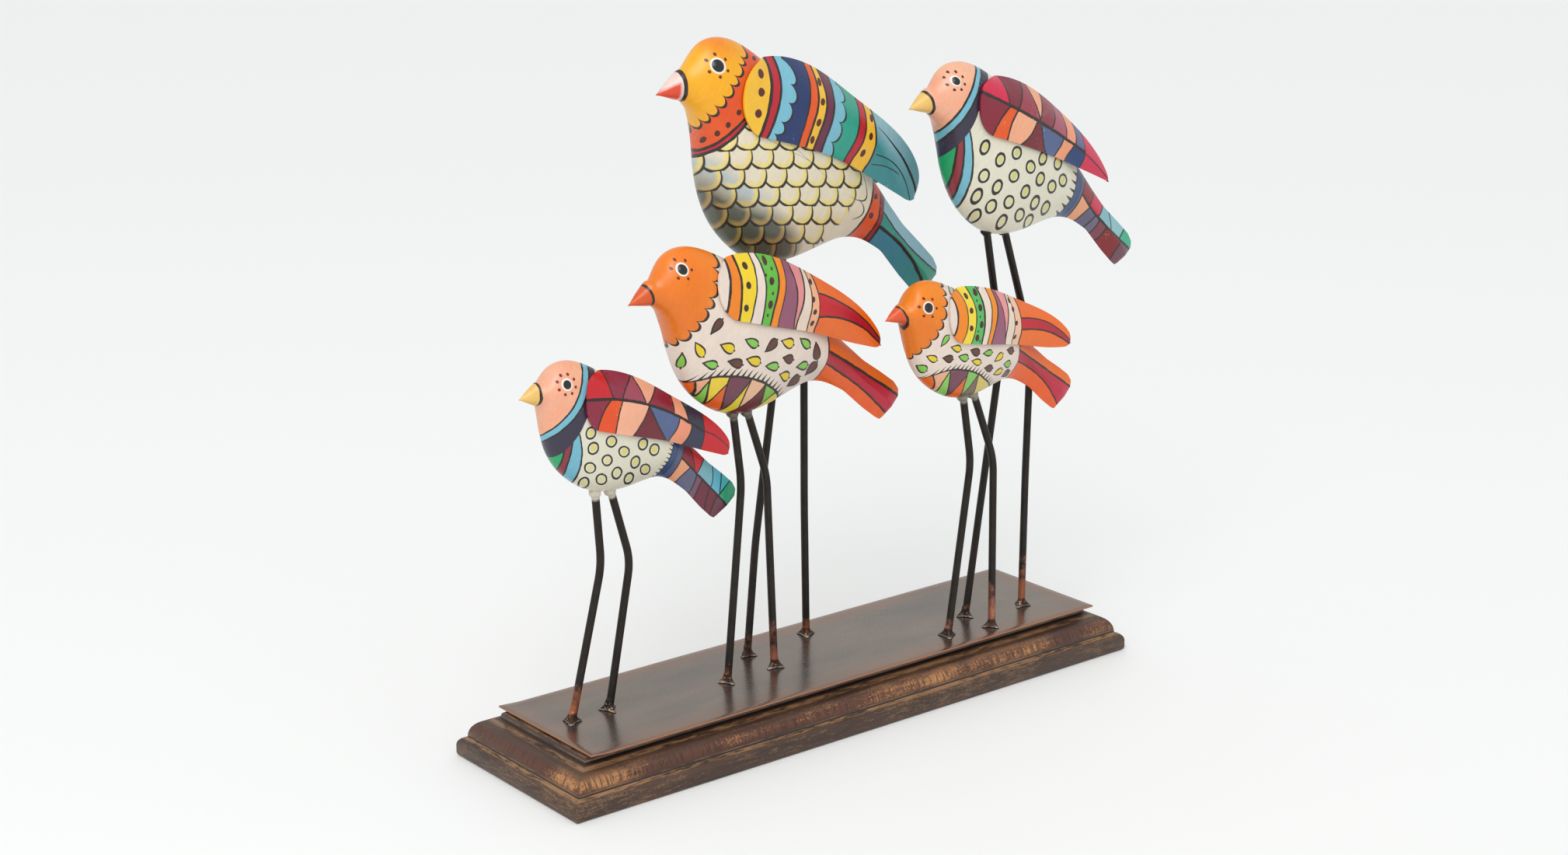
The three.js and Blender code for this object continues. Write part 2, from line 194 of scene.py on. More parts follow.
def done():
    bpy.ops.object.mode_set(mode="OBJECT")


def smooth_by_angle(piece, degrees):
    alone(piece)
    bpy.ops.object.shade_smooth_by_angle(angle=radians(degrees))


def finish_piece(piece, slot, replaced):
    """The piece belongs to the object and stands for this solid, which is hidden.
    The slot is not used."""
    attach(piece, "root")
    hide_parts(replaced)


def write_vectors(piece, name, values):
    """Stores one vector for each point of the piece's mesh."""
    layer = piece.data.attributes.new(name, "FLOAT_VECTOR", "POINT")
    layer.data.foreach_set("vector", [part for value in values for part in value])


def write_numbers(piece, name, domain, values):
    """Stores one number for each point or edge of the piece's mesh."""
    layer = piece.data.attributes.new(name, "FLOAT", domain)
    layer.data.foreach_set("value", values)


def placement(bird):
    """From the pattern of a bird, in hundredths of its length, to its place."""
    c, s = cos(radians(bird["pitch"])), sin(radians(bird["pitch"]))
    x, y, z = (part * MM for part in bird["beak"])
    turn = Matrix(((c, s, 0, 0), (0, 0, -1, 0), (-s, c, 0, 0), (0, 0, 0, 1)))
    return Matrix.Translation((x, y, z)) @ turn @ Matrix.Scale(bird["size"] * MM / 100, 4)


# Plinth and plate
def moulding_profile():
    """From the outer edge inwards: distance in from the edge, and height."""
    rows = [(1.4, 0.0), (0.4, 0.5), (0.0, 1.6), (0.0, 5.6)]
    rows += [(4.2 * (1 - cos(a)), 5.6 + 4.5 * sin(a)) for a in (0.3, 0.6, 0.9, 1.2, 1.5)]
    rows += [(4.4, 10.3), (4.45, 11.2)]
    rows += [(4.5 + 8.6 * (1 - cos(a)), 11.4 + 8.6 * sin(a) ** 1.05)
             for a in (0.15, 0.35, 0.55, 0.75, 0.95, 1.15, 1.35)]
    rows += [(13.2, 20.35), (15.4, 21.3), (16.9, 21.95), (17.0, 22.3), (17.05, 22.9)]
    rows += [(17.0 + 2.6 * (1 - cos(a)), 22.9 + 2.3 * sin(a)) for a in (0.4, 0.8, 1.2)]
    rows += [(19.6, 25.3), (20.6, BOARD_TOP)]
    return rows


def make_plinth():
    rows = moulding_profile()
    bpy.ops.mesh.primitive_plane_add(size=1, location=(0, 0, 0))
    plinth = named("plinth_moulded_board")
    edit(plinth, "FACE")
    width = PLINTH_WIDTH - 2 * rows[0][0]
    length = PLINTH_LENGTH - 2 * rows[0][0]
    bpy.ops.transform.resize(value=(length * MM, width * MM, 1), center_override=(0, 0, 0))
    for (inset, height), (next_inset, next_height) in zip(rows, rows[1:]):
        bpy.ops.mesh.extrude_region_move(
            TRANSFORM_OT_translate={"value": (0, 0, (next_height - height) * MM)})
        step = 2 * (inset - next_inset)
        bpy.ops.transform.resize(
            value=((length + step) / length, (width + step) / width, 1),
            center_override=(0, 0, next_height * MM))
        length += step
        width += step
    done()
    edit(plinth, "EDGE")
    bpy.ops.mesh.select_all(action="DESELECT")
    bpy.ops.mesh.select_non_manifold()
    bpy.ops.mesh.edge_face_add()
    bpy.ops.mesh.select_all(action="SELECT")
    bpy.ops.mesh.normals_make_consistent(inside=False)
    done()
    bevel(plinth, 0.5, 35)
    smooth_by_angle(plinth, 40)
    return plinth


def make_plate():
    """A thin sheet, softly uneven, with its left end standing a little off the board."""
    bpy.ops.mesh.primitive_grid_add(x_subdivisions=90, y_subdivisions=24, size=1)
    plate = named("metal_plate")
    edit(plate)
    bpy.ops.transform.resize(value=(PLATE_LENGTH * MM, PLATE_WIDTH * MM, 1),
                             center_override=(0, 0, 0))
    bpy.ops.transform.translate(value=(PLATE_SHIFT[0] * MM, PLATE_SHIFT[1] * MM,
                                       (PLATE_UNDERSIDE + PLATE_THICKNESS) * MM))
    done()
    for vertex in plate.data.vertices:
        x, y, z = vertex.co
        left_end = clamp01((-x / MM - 158) / 14) ** 1.5
        ripple = noise.noise(Vector((x * 22, y * 22, 3.0)))
        long_edge = clamp01((abs(y - PLATE_SHIFT[1] * MM) / MM - 30) / 12)
        vertex.co.z += (PLATE_LIFT * left_end + PLATE_RIPPLE * ripple * long_edge) * MM
    apply_modifier(plate, "SOLIDIFY", thickness=PLATE_THICKNESS * MM, offset=-1)
    bevel(plate, 0.22, 50)
    smooth_by_angle(plate, 40)
    return plate


# Birds
def edge_crispness(a, b, sharp, beak_root):
    """How crisp the edge between two pattern points stays when the body is rounded."""
    top, foot = (Vector((*spot, 0)) for spot in beak_root)
    way = (foot - top).normalized()
    if all(abs((spot - top).cross(way).z) < 0.35 for spot in (a, b)):
        return 0.6
    behind = min(a.x, b.x)
    if behind > TAIL_END:
        return 0.8
    if max(abs(a.z), abs(b.z)) < 0.3 and behind > TAIL_ROOT:
        return 0.9 * ease((behind - TAIL_ROOT + 2) / 14)
    if sharp and behind > TAIL_ROOT and abs(a.x - b.x) > 1.5:
        return 0.55
    return 0.0


def eye_of(bird, side):
    """Where the eye is painted on this side; the far one sits a little further back."""
    x, y = bird["eye"]
    return Vector((x if side > 0 else x + 2.4, y, 0))


def make_body(name, bird):
    """The pressed body, rounded from its solid; the beak and tail stay crisp and the
    pupils stand out as low domes."""
    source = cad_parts[name + "_body"]
    body = placed(name + "_pressed_body", source.data.copy())
    back = placement(bird).inverted()
    edit(body)
    bpy.ops.mesh.customdata_custom_splitnormals_clear()
    bpy.ops.mesh.remove_doubles(threshold=0.00001)
    bpy.ops.mesh.tris_convert_to_quads(face_threshold=pi, shape_threshold=pi)
    bpy.ops.mesh.select_all(action="DESELECT")
    bpy.ops.mesh.select_mode(type="EDGE")
    bpy.ops.mesh.edges_select_sharp(sharpness=radians(32))
    done()
    spots = [back @ vertex.co for vertex in body.data.vertices]
    creases = [edge_crispness(*(spots[i] for i in edge.vertices), edge.select, bird["beak_root"])
               for edge in body.data.edges]
    write_numbers(body, "crease_edge", "EDGE", creases)
    write_numbers(body, "crease_vert", "POINT",
                  [1.0 if spot.length < 0.5 else 0.75 * (spot.x > TAIL_END) for spot in spots])
    swell = BODY_SWELL * bird["size"] * MM
    moved = [vertex.co + vertex.normal * swell * ease((spot.x - 6) / 8) * ease((84 - spot.x) / 18)
             for vertex, spot in zip(body.data.vertices, spots)]
    for vertex, place in zip(body.data.vertices, moved):
        vertex.co = place
    refine(body, 3)
    alone(body)
    bpy.ops.object.shade_smooth()
    for vertex in body.data.vertices:
        spot = back @ vertex.co
        away = (spot - eye_of(bird, spot.z)).xy.length
        dome = max(0.0, 1 - (away / (0.5 * bird["eye_size"])) ** 2)
        vertex.co.y -= PUPIL_HEIGHT * MM * sqrt(dome) * (1 if spot.z > 0 else -1)
    body.data.materials.clear()
    return body


def flank_reader(body, bird):
    """How far the flank bulges under a point of the side view, in pattern units."""
    back = placement(bird).inverted()
    points = [back @ vertex.co for vertex in body.data.vertices]
    faces = [tuple(face.vertices) for face in body.data.polygons]
    tree = BVHTree.FromPolygons(points, faces)

    def flank(x, y, side):
        hit = tree.ray_cast(Vector((x, y, 40.0 * side)), Vector((0, 0, -side)))[0]
        return abs(hit.z) if hit and hit.z * side > 0 else 0.0

    return flank


def wing_outline(wing, along, across):
    """The wing's side view: along from its front to its tip, across from -1 at the
    upper edge to 1 at the lower edge."""
    behind_shoulder = clamp01((along - WING_SHOULDER) / (1 - WING_SHOULDER))
    before_shoulder = clamp01(1 - along / WING_SHOULDER)
    behind_elbow = clamp01((along - WING_ELBOW) / (1 - WING_ELBOW))
    before_elbow = clamp01(1 - along / WING_ELBOW)
    upper = wing["rise"] * sqrt(1 - before_shoulder ** 2)
    upper *= (1 - behind_shoulder ** 2) ** wing["full"]
    lower = wing["drop"] * sqrt(1 - before_elbow ** 2) * (1 - behind_elbow) ** wing["hollow"]
    rounded = sqrt(1 - clamp01((along - 0.965) / 0.035) ** 2)
    spare = wing["blunt"] * ease((along - 0.5) / 0.4) * rounded
    x = mix(wing["front"][0], wing["tip"][0], along)
    y = mix(wing["front"][1], wing["tip"][1], along)
    return x, y + mix(upper + spare, -lower - spare, (across + 1) / 2)


def make_wing(name, bird, flank, side):
    """A domed sheet that follows the flank and stands free at its tip."""
    wing = dict(bird)
    if side < 0:
        wing["front"] = (bird["front"][0], bird["front"][1] + FAR_WING["front"])
        wing["tip"] = (bird["tip"][0] - FAR_WING["shorter"], bird["tip"][1] + FAR_WING["tip"])
        wing["rise"] = bird["rise"] * FAR_WING["rise"]
    bpy.ops.mesh.primitive_grid_add(x_subdivisions=56, y_subdivisions=22, size=2)
    piece = named(name + ("_near_wing_sheet" if side > 0 else "_far_wing_sheet"))
    gap = 100 * WING_CLEARANCE / bird["size"]
    sheet = 100 * WING_SHEET / bird["size"]
    place = placement(bird)
    pattern = []
    for vertex in piece.data.vertices:
        along = (1 - cos(pi * (vertex.co.x + 1) / 2)) / 2
        across = sin(pi * vertex.co.y / 2) * -1
        x, y = wing_outline(wing, along, across)
        freed = ease((along - 0.5) / 0.5)
        edge = mix(mix(2.2, 5.2, freed), 5.4, (across + 1) / 2)
        dome = (1 - abs(across) ** mix(2.2, 1.2, freed)) * sin(pi * along ** 0.62)
        rest = flank(x, y, side) + gap + sheet
        free = edge + 4.3 * dome
        blend = 0.9
        high, low = max(rest, free), min(rest, free)
        lift = blend * max(0.0, 1 - (high - low) / (2 * blend)) ** 2 / 2
        vertex.co = place @ Vector((x, y, (high + lift) * side))
        pattern.append((*wing_outline(bird, along, across), side))
    write_vectors(piece, "pattern", pattern)
    edit(piece)
    bpy.ops.mesh.remove_doubles(threshold=0.00002)
    bpy.ops.mesh.normals_make_consistent(inside=False)
    done()
    middle = piece.data.polygons[len(piece.data.polygons) // 2]
    if middle.normal.y * side > 0:
        edit(piece)
        bpy.ops.mesh.flip_normals()
        done()
    apply_modifier(piece, "SOLIDIFY", thickness=WING_SHEET * MM, offset=-1,
                   use_even_offset=True)
    bevel(piece, 0.3, 50)
    refine(piece, 1)
    smooth_by_angle(piece, 50)
    return piece


def leg_route(corners):
    """Straight wire with its knees bent round."""
    points = [Vector(corner) * MM for corner in corners]
    route = [points[0]]
    for before, knee, after in zip(points, points[1:], points[2:]):
        into = (before - knee).normalized() * KNEE_BEND * MM
        out = (after - knee).normalized() * KNEE_BEND * MM
        for k in range(9):
            t = k / 8
            route.append(knee + into * (1 - t) ** 2 + out * t * t)
    return route + [points[-1]]


def make_wire(name, route):
    """The bent wire itself, swept along its route."""
    curve = bpy.data.curves.new(name, "CURVE")
    curve.dimensions = "3D"
    curve.bevel_depth = WIRE_RADIUS * MM
    curve.bevel_resolution = 6
    curve.use_fill_caps = True
    line = curve.splines.new("POLY")
    line.points.add(len(route) - 1)
    for point, place in zip(line.points, route):
        point.co = (*place, 1)
    wire = placed(name, curve)
    alone(wire)
    bpy.ops.object.convert(target="MESH")
    return wire


def make_bead(top, seed):
    """The lump of weld at the belly."""
    bpy.ops.mesh.primitive_ico_sphere_add(subdivisions=4, radius=BEAD_RADIUS * MM, location=top)
    bead = bpy.context.object
    bpy.ops.object.transform_apply(location=True)
    for vertex in bead.data.vertices:
        away = vertex.co - top
        lump = noise.noise(away * 420 + Vector((seed, 0, 0)))
        vertex.co = top + away * (1 + 0.16 * lump)
    return bead


def make_puddle(foot, seed):
    """The weld on the plate, drawn out into a few pointed webs."""
    bpy.ops.mesh.primitive_cone_add(vertices=48, radius1=1, radius2=0.2, depth=1,
                                    location=(0, 0, 0.5), end_fill_type="TRIFAN")
    puddle = bpy.context.object
    bpy.ops.object.transform_apply(location=True)
    edit(puddle)
    bpy.ops.mesh.subdivide(number_cuts=9)
    done()
    for vertex in puddle.data.vertices:
        x, y, z = vertex.co
        reach = sqrt(x * x + y * y)
        out = Vector((x, y, 0)).normalized() if reach > 1e-4 else Vector((1, 0, 0))
        web = abs(sin(1.5 * atan2(out.y, out.x) + seed)) ** 5
        spread = 0.4 + 1.2 * web + 0.3 * noise.noise(out * 1.6 + Vector((seed * 3.1, 0, 7)))
        share = 1 - z
        radius = (2.0 + 2.5 * spread * share ** 2.4) * MM
        radius *= min(1.0, reach / max(1 - 0.8 * z, 0.01))
        vertex.co = Vector((foot.x, foot.y, FOOT_LEVEL * MM)) + out * radius
        lump = 1 + 0.25 * noise.noise(out * 2 + Vector((0, seed, 1)))
        vertex.co.z += PUDDLE_HEIGHT * MM * z * lump
    return puddle


def make_leg(name, bird, label, seed):
    """Bent wire with a weld bead at the belly and a webbed weld on the plate, marked
    with the heat of its welds."""
    route = leg_route(bird[label + "_leg"])
    leg = make_wire(name, route)
    belly_weld = route[0] - Vector((0, 0, BEAD_DROP * MM))
    welds = [make_bead(belly_weld, seed), make_puddle(route[-1], seed)]
    alone(leg)
    for weld in welds:
        weld.select_set(True)
    bpy.ops.object.join()
    apply_modifier(leg, "REMESH", mode="VOXEL", voxel_size=WELD_GRAIN * MM)
    apply_modifier(leg, "SMOOTH", factor=0.5, iterations=4)
    alone(leg)
    bpy.ops.object.shade_smooth()
    leg.name = name
    leg.data.name = name
    reach, strength, pink = bird[label + "_heat"]
    heat = []
    for vertex in leg.data.vertices:
        height = vertex.co.z / MM - FOOT_LEVEL
        belly = clamp01((5.0 - (vertex.co - belly_weld).length / MM) / 1.5) * bird["belly_paint"]
        heat.append((strength * clamp01(1 - height / reach), pink, belly))
    write_vectors(leg, "weld_heat", heat)
    return leg


# Brushes
class Field:
    """A number that varies over a surface."""

    def __init__(self, tree, socket):
        self.tree = tree
        self.socket = socket

    def join(self, operation, *values, clamp=False):
        node = self.tree.nodes.new("ShaderNodeMath")
        node.operation = operation
        node.use_clamp = clamp
        for slot, value in zip(node.inputs, values):
            feed(self.tree, slot, value)
        return Field(self.tree, node.outputs[0])

    def __add__(self, other):
        return self.join("ADD", self, other)

    def __sub__(self, other):
        return self.join("SUBTRACT", self, other)

    def __rsub__(self, other):
        return self.join("SUBTRACT", other, self)

    def __mul__(self, other):
        return self.join("MULTIPLY", self, other)

    def __truediv__(self, other):
        return self.join("DIVIDE", self, other)

    def __rtruediv__(self, other):
        return self.join("DIVIDE", other, self)

    def __neg__(self):
        return self.join("MULTIPLY", self, -1.0)

    def __abs__(self):
        return self.join("ABSOLUTE", self)

    __radd__ = __add__
    __rmul__ = __mul__

    def least(self, other):
        return self.join("MINIMUM", self, other)

    def most(self, other):
        return self.join("MAXIMUM", self, other)

    def over(self, soft=0.12):
        """1 where the number is above 0, with a soft edge."""
        return self.join("MULTIPLY_ADD", self, 1 / soft, 0.5, clamp=True)

    def scaled(self, factor, shift, clamp=False):
        return self.join("MULTIPLY_ADD", self, factor, shift, clamp=clamp)


def feed(tree, slot, value):
    """Links a socket or field to the slot, or sets its constant."""
    if isinstance(value, Field):
        tree.links.new(value.socket, slot)
    elif isinstance(value, bpy.types.NodeSocket):
        tree.links.new(value, slot)
    elif isinstance(value, (tuple, list)) and len(slot.default_value) == 4 and len(value) == 3:
        slot.default_value = (*value, 1)
    elif isinstance(value, (tuple, list)):
        slot.default_value = value[:len(slot.default_value)]
    else:
        slot.default_value = value


def tint(red, green, blue):
    """A paint colour from its tones of 0 to 255."""
    return tuple((tone / 255) ** 2.2 for tone in (red, green, blue))


class Canvas:
    """A node tree with the few steps that all finishes share."""

    def __init__(self, tree):
        self.tree = tree

    def node(self, kind, settings=None, **inputs):
        node = self.tree.nodes.new("ShaderNode" + kind)
        for key, value in (settings or {}).items():
            setattr(node, key, value)
        for key, value in inputs.items():
            feed(self.tree, node.inputs[key.replace("_", " ")], value)
        return node

    def field(self, socket):
        return Field(self.tree, socket)

    def vector(self, operation, first, second=None, out="Vector"):
        node = self.tree.nodes.new("ShaderNodeVectorMath")
        node.operation = operation
        feed(self.tree, node.inputs[0], first)
        if second is not None:
            feed(self.tree, node.inputs[1], second)
        socket = node.outputs[out]
        return Field(self.tree, socket) if out == "Value" else socket

    def mixed(self, amount, below, above):
        node = self.tree.nodes.new("ShaderNodeMix")
        node.data_type = "RGBA"
        feed(self.tree, node.inputs[0], amount)
        feed(self.tree, node.inputs[6], below)
        feed(self.tree, node.inputs[7], above)
        return node.outputs[2]

    def noise(self, place, scale, detail=2.0, roughness=0.5):
        node = self.node("TexNoise", Vector=place, Scale=scale, Detail=detail,
                         Roughness=roughness)
        return self.field(node.outputs["Fac"])

    def relief(self, height, strength, distance):
        """The normals of a surface raised by this height."""
        return self.node("Bump", Height=height, Strength=strength, Distance=distance).outputs[0]

    def split(self, vector):
        node = self.node("SeparateXYZ", Vector=vector)
        return [self.field(socket) for socket in node.outputs]

    def combined(self, x, y, z=0.0):
        return self.node("CombineXYZ", X=x, Y=y, Z=z).outputs[0]

    def course(self, x, points):
        """The height at x of a smooth course through these points (x, height)."""
        points = sorted(points)
        low_x, high_x = points[0][0], points[-1][0]
        low_y = min(point[1] for point in points)
        span_y = max(max(point[1] for point in points) - low_y, 0.001)
        node = self.node("FloatCurve", Value=x.scaled(1 / (high_x - low_x),
                                                     -low_x / (high_x - low_x)))
        curve = node.mapping.curves[0]
        for index, (px, py) in enumerate(points):
            spot = ((px - low_x) / (high_x - low_x), (py - low_y) / span_y)
            if index in (0, len(points) - 1):
                curve.points[0 if index == 0 else -1].location = spot
            else:
                curve.points.new(*spot)
        node.mapping.extend = "HORIZONTAL"
        node.mapping.update()
        return self.field(node.outputs[0]).scaled(span_y, low_y)

    def stamp(self, group, colour, **inputs):
        """Lays a shared painted shape over the colour so far."""
        node = self.tree.nodes.new("ShaderNodeGroup")
        node.node_tree = group
        feed(self.tree, node.inputs["Colour"], colour)
        for key, value in inputs.items():
            feed(self.tree, node.inputs[key], value)
        return node.outputs[0]


INK = tint(34, 27, 24)
SOCKET_KINDS = {"Colour": "Color", "Fill": "Color", "Dot Paint": "Color", "Point": "Vector",
                "Centre": "Vector", "Tip": "Vector", "Face": "Vector", "Place": "Vector",
                "Pattern": "Vector", "Normal": "Vector"}


def shared(name, inputs, outputs=("Colour",)):
    """A new node group, its canvas, what it takes by name and where it gives. A socket
    of no other kind is a number."""
    group = bpy.data.node_groups.new(name, "ShaderNodeTree")
    for way, labels in (("INPUT", inputs), ("OUTPUT", outputs)):
        for label in labels:
            kind = SOCKET_KINDS.get(label, "Float")
            group.interface.new_socket(label, in_out=way, socket_type="NodeSocket" + kind)
    entry = group.nodes.new("NodeGroupInput")
    leave = group.nodes.new("NodeGroupOutput")
    take = {label: entry.outputs[label] if label in SOCKET_KINDS
            else Field(group, entry.outputs[label]) for label in inputs}
    return group, Canvas(group), take, leave.inputs


def outlined(c, take, distance, soft=0.12):
    """Paint where the distance is above 0, with a brush line along the border."""
    filled = c.mixed(distance.over(soft), take["Colour"], take["Fill"])
    line = (take["Line"] * take["Press"] - abs(distance)).over(soft + 0.02)
    return c.mixed(line * take["Line"].over(0.01), filled, INK)


def group_area():
    """Paint on one side of a border."""
    group, c, take, give = shared("painted_area",
                                  ("Colour", "Distance", "Fill", "Line", "Press"))
    feed(group, give[0], outlined(c, take, take["Distance"]))
    return group


def group_leaf():
    """A leaf round its Centre, pointed at its Tip."""
    group, c, take, give = shared(
        "painted_leaf",
        ("Colour", "Point", "Centre", "Tip", "Width", "Fill", "Line", "Press"))
    axis = c.vector("SUBTRACT", take["Tip"], take["Centre"])
    length = c.vector("LENGTH", axis, out="Value")
    unit = c.vector("NORMALIZE", axis)
    away = c.vector("SUBTRACT", take["Point"], take["Centre"])
    along = c.vector("DOT_PRODUCT", away, unit, out="Value")
    side = c.vector("LENGTH", c.vector("CROSS_PRODUCT", away, unit), out="Value")
    share = along / length
    taper = (1.0 - share).most(0.0)
    round_end = share.join("POWER", (1.0 + share * 1.05).most(0.0), 0.5)
    width = take["Width"] * taper * round_end
    distance = (width - side).least((length - abs(along)) * 0.8)
    feed(group, give[0], outlined(c, take, distance, 0.1))
    return group


def group_eye():
    """A white ring round a dark pupil, inside a circle of dots of radius 1, on the
    cheeks alone."""
    group, c, take, give = shared(
        "painted_eye", ("Colour", "Face", "Dots", "Turn", "Dot Paint", "White", "Pupil"),
        ("Colour", "Gloss"))
    x, y, outward = c.split(take["Face"])
    between_cheeks = (outward + 4.4).over(0.4) * (1.5 - outward).over(0.4)
    radius = c.vector("LENGTH", c.combined(x, y), out="Value") + between_cheeks * 9.0
    angle = x.join("ARCTAN2", y, x) - take["Turn"]
    step = (2 * pi) / take["Dots"]
    turned = angle / step + 0.5
    off = (turned.join("FRACT", turned) - 0.5) * step
    dot = c.vector("LENGTH", c.combined(radius - 1.0, off), out="Value")
    colour = c.mixed((0.155 - dot).over(0.05), take["Colour"], take["Dot Paint"])
    colour = c.mixed((take["White"] - radius).over(0.06), colour, tint(244, 241, 234))
    # A thin grey ring round the pupil is painted shade at the foot of the raised pupil.
    rim = (0.03 - abs(radius - take["Pupil"] - 0.01)).over(0.05)
    colour = c.mixed(rim * 0.4, colour, tint(120, 118, 112))
    inside = (take["Pupil"] - radius).over(0.05)
    feed(group, give[0], c.mixed(inside, colour, tint(34, 32, 34)))
    feed(group, give[1], inside)
    return group


def group_scales():
    """Overlapping U-shaped scales, each upper row over the next and each left scale over
    its neighbour, with a dark rim and a pale crescent inside its lower right."""
    group, c, take, give = shared("painted_scales", ("Colour", "Point", "Wash", "Press"))
    x, y, _ = c.split(take["Point"])
    row = y.join("FLOOR", y - 0.15)
    down = y - row
    scales = []
    radius = 0.61
    for step, stagger in ((0.0, 0.5), (1.0, 1.0)):
        shift = row * 0.5 + stagger
        slid = x - shift.join("FRACT", shift)
        across = slid.join("FRACT", slid)
        below = down - step
        droop = (below - 0.3).most(0.0) * 0.72
        for place in (across, across - 1.0):
            inner = radius - c.vector("LENGTH", c.combined(place, droop), out="Value")
            scales.append((inner, place, below))
    left = 1.0
    depth, sideways, downward, line = 0.0, 0.0, 0.0, 0.0
    half = (0.014 + 0.014 * down) * take["Press"]
    for inner, place, below in scales:
        shown = inner.over(0.02)
        line = (half - abs(inner)).over(0.03) * left + line
        depth = inner * shown * left + depth
        sideways = place * shown * left + sideways
        downward = below * shown * left + downward
        left = (1.0 - shown) * left
    crescent = (0.21 - depth).over(0.14) * (downward + sideways - 0.5).over(0.4)
    glow = c.mixed(take["Wash"], tint(234, 212, 112), tint(176, 146, 88))
    colour = c.mixed(crescent * 0.8, take["Colour"], glow)
    feed(group, give[0], c.mixed(line.least(1.0), colour, INK))
    return group


def group_fringe():
    """Short tapering brush ticks standing on a line."""
    group, c, take, give = shared("painted_fringe",
                                  ("Colour", "Distance", "Along", "Length", "Width"))
    share = take["Distance"] / take["Length"]
    tick = abs(take["Along"].join("FRACT", take["Along"]) - 0.5)
    width = take["Width"] * (1.1 - share).most(0.0)
    inside = (width - tick).over(0.06) * take["Distance"].over(0.1) * (1.0 - share).over(0.1)
    feed(group, give[0], c.mixed(inside, take["Colour"], INK))
    return group


def group_varnish():
    """Brush streaks, tired patches, chips down to the metal and a hand-brushed relief."""
    group, c, take, give = shared("varnished_paint", ("Colour", "Place", "Pattern", "Gloss"),
                                  ("Colour", "Roughness", "Normal"))
    place = take["Place"]
    along = c.node("Mapping", Vector=take["Pattern"], Scale=(0.55, 0.16, 0.3)).outputs[0]
    streak = c.noise(along, 2.2, 4.0, 0.6)
    cloud = c.noise(place, 46, 3.0, 0.55)
    fine = c.noise(place, 620, 3.0, 0.6)
    value = 0.76 + 0.22 * streak + 0.14 * cloud
    tinted = c.node("HueSaturation", Color=take["Colour"], Value=value, Saturation=1.04,
                    Hue=0.4925 + 0.015 * cloud).outputs[0]
    worn = (cloud * 0.7 + fine * 0.5 - 0.78).over(0.08) * 0.16
    tinted = c.mixed(worn, tinted, tint(205, 196, 182))
    edge = c.field(c.node("NewGeometry").outputs["Pointiness"])
    chipped = ((edge - 0.56) * 6.0 + (fine - 0.62) * 3.0).over(0.3)
    chipped = chipped * (cloud - 0.52).over(0.1)
    feed(group, give[0], c.mixed(chipped * 0.8, tinted, tint(178, 168, 150)))
    rough = 0.37 + 0.14 * (fine - 0.5) + 0.16 * (cloud - 0.5)
    feed(group, give[1], rough - 0.26 * take["Gloss"])
    height = streak * 0.7 + fine * 0.35 + chipped * -0.6
    feed(group, give[2], c.relief(height, 0.16, 0.0012))
    return group


AREA = group_area()
LEAF = group_leaf()
EYE = group_eye()
SCALES = group_scales()
FRINGE = group_fringe()
VARNISH = group_varnish()


class Finish(Canvas):
    """The node tree of one material, its shader and the place on the object."""

    def __init__(self, name):
        self.material = bpy.data.materials.new(name)
        self.material.use_nodes = True
        super().__init__(self.material.node_tree)
        self.shader = self.tree.nodes["Principled BSDF"]
        self.place = self.node("TexCoord").outputs["Object"]

    def glaze(self, amount, paint):
        """A veil of paint over the colour so far."""
        self.colour = self.mixed(amount, self.colour, paint)

    def dress(self, **looks):
        """The material in its colour and these looks."""
        feed(self.tree, self.shader.inputs["Base Color"], self.colour)
        for key, value in looks.items():
            feed(self.tree, self.shader.inputs[key.replace("_", " ")], value)
        return self.material


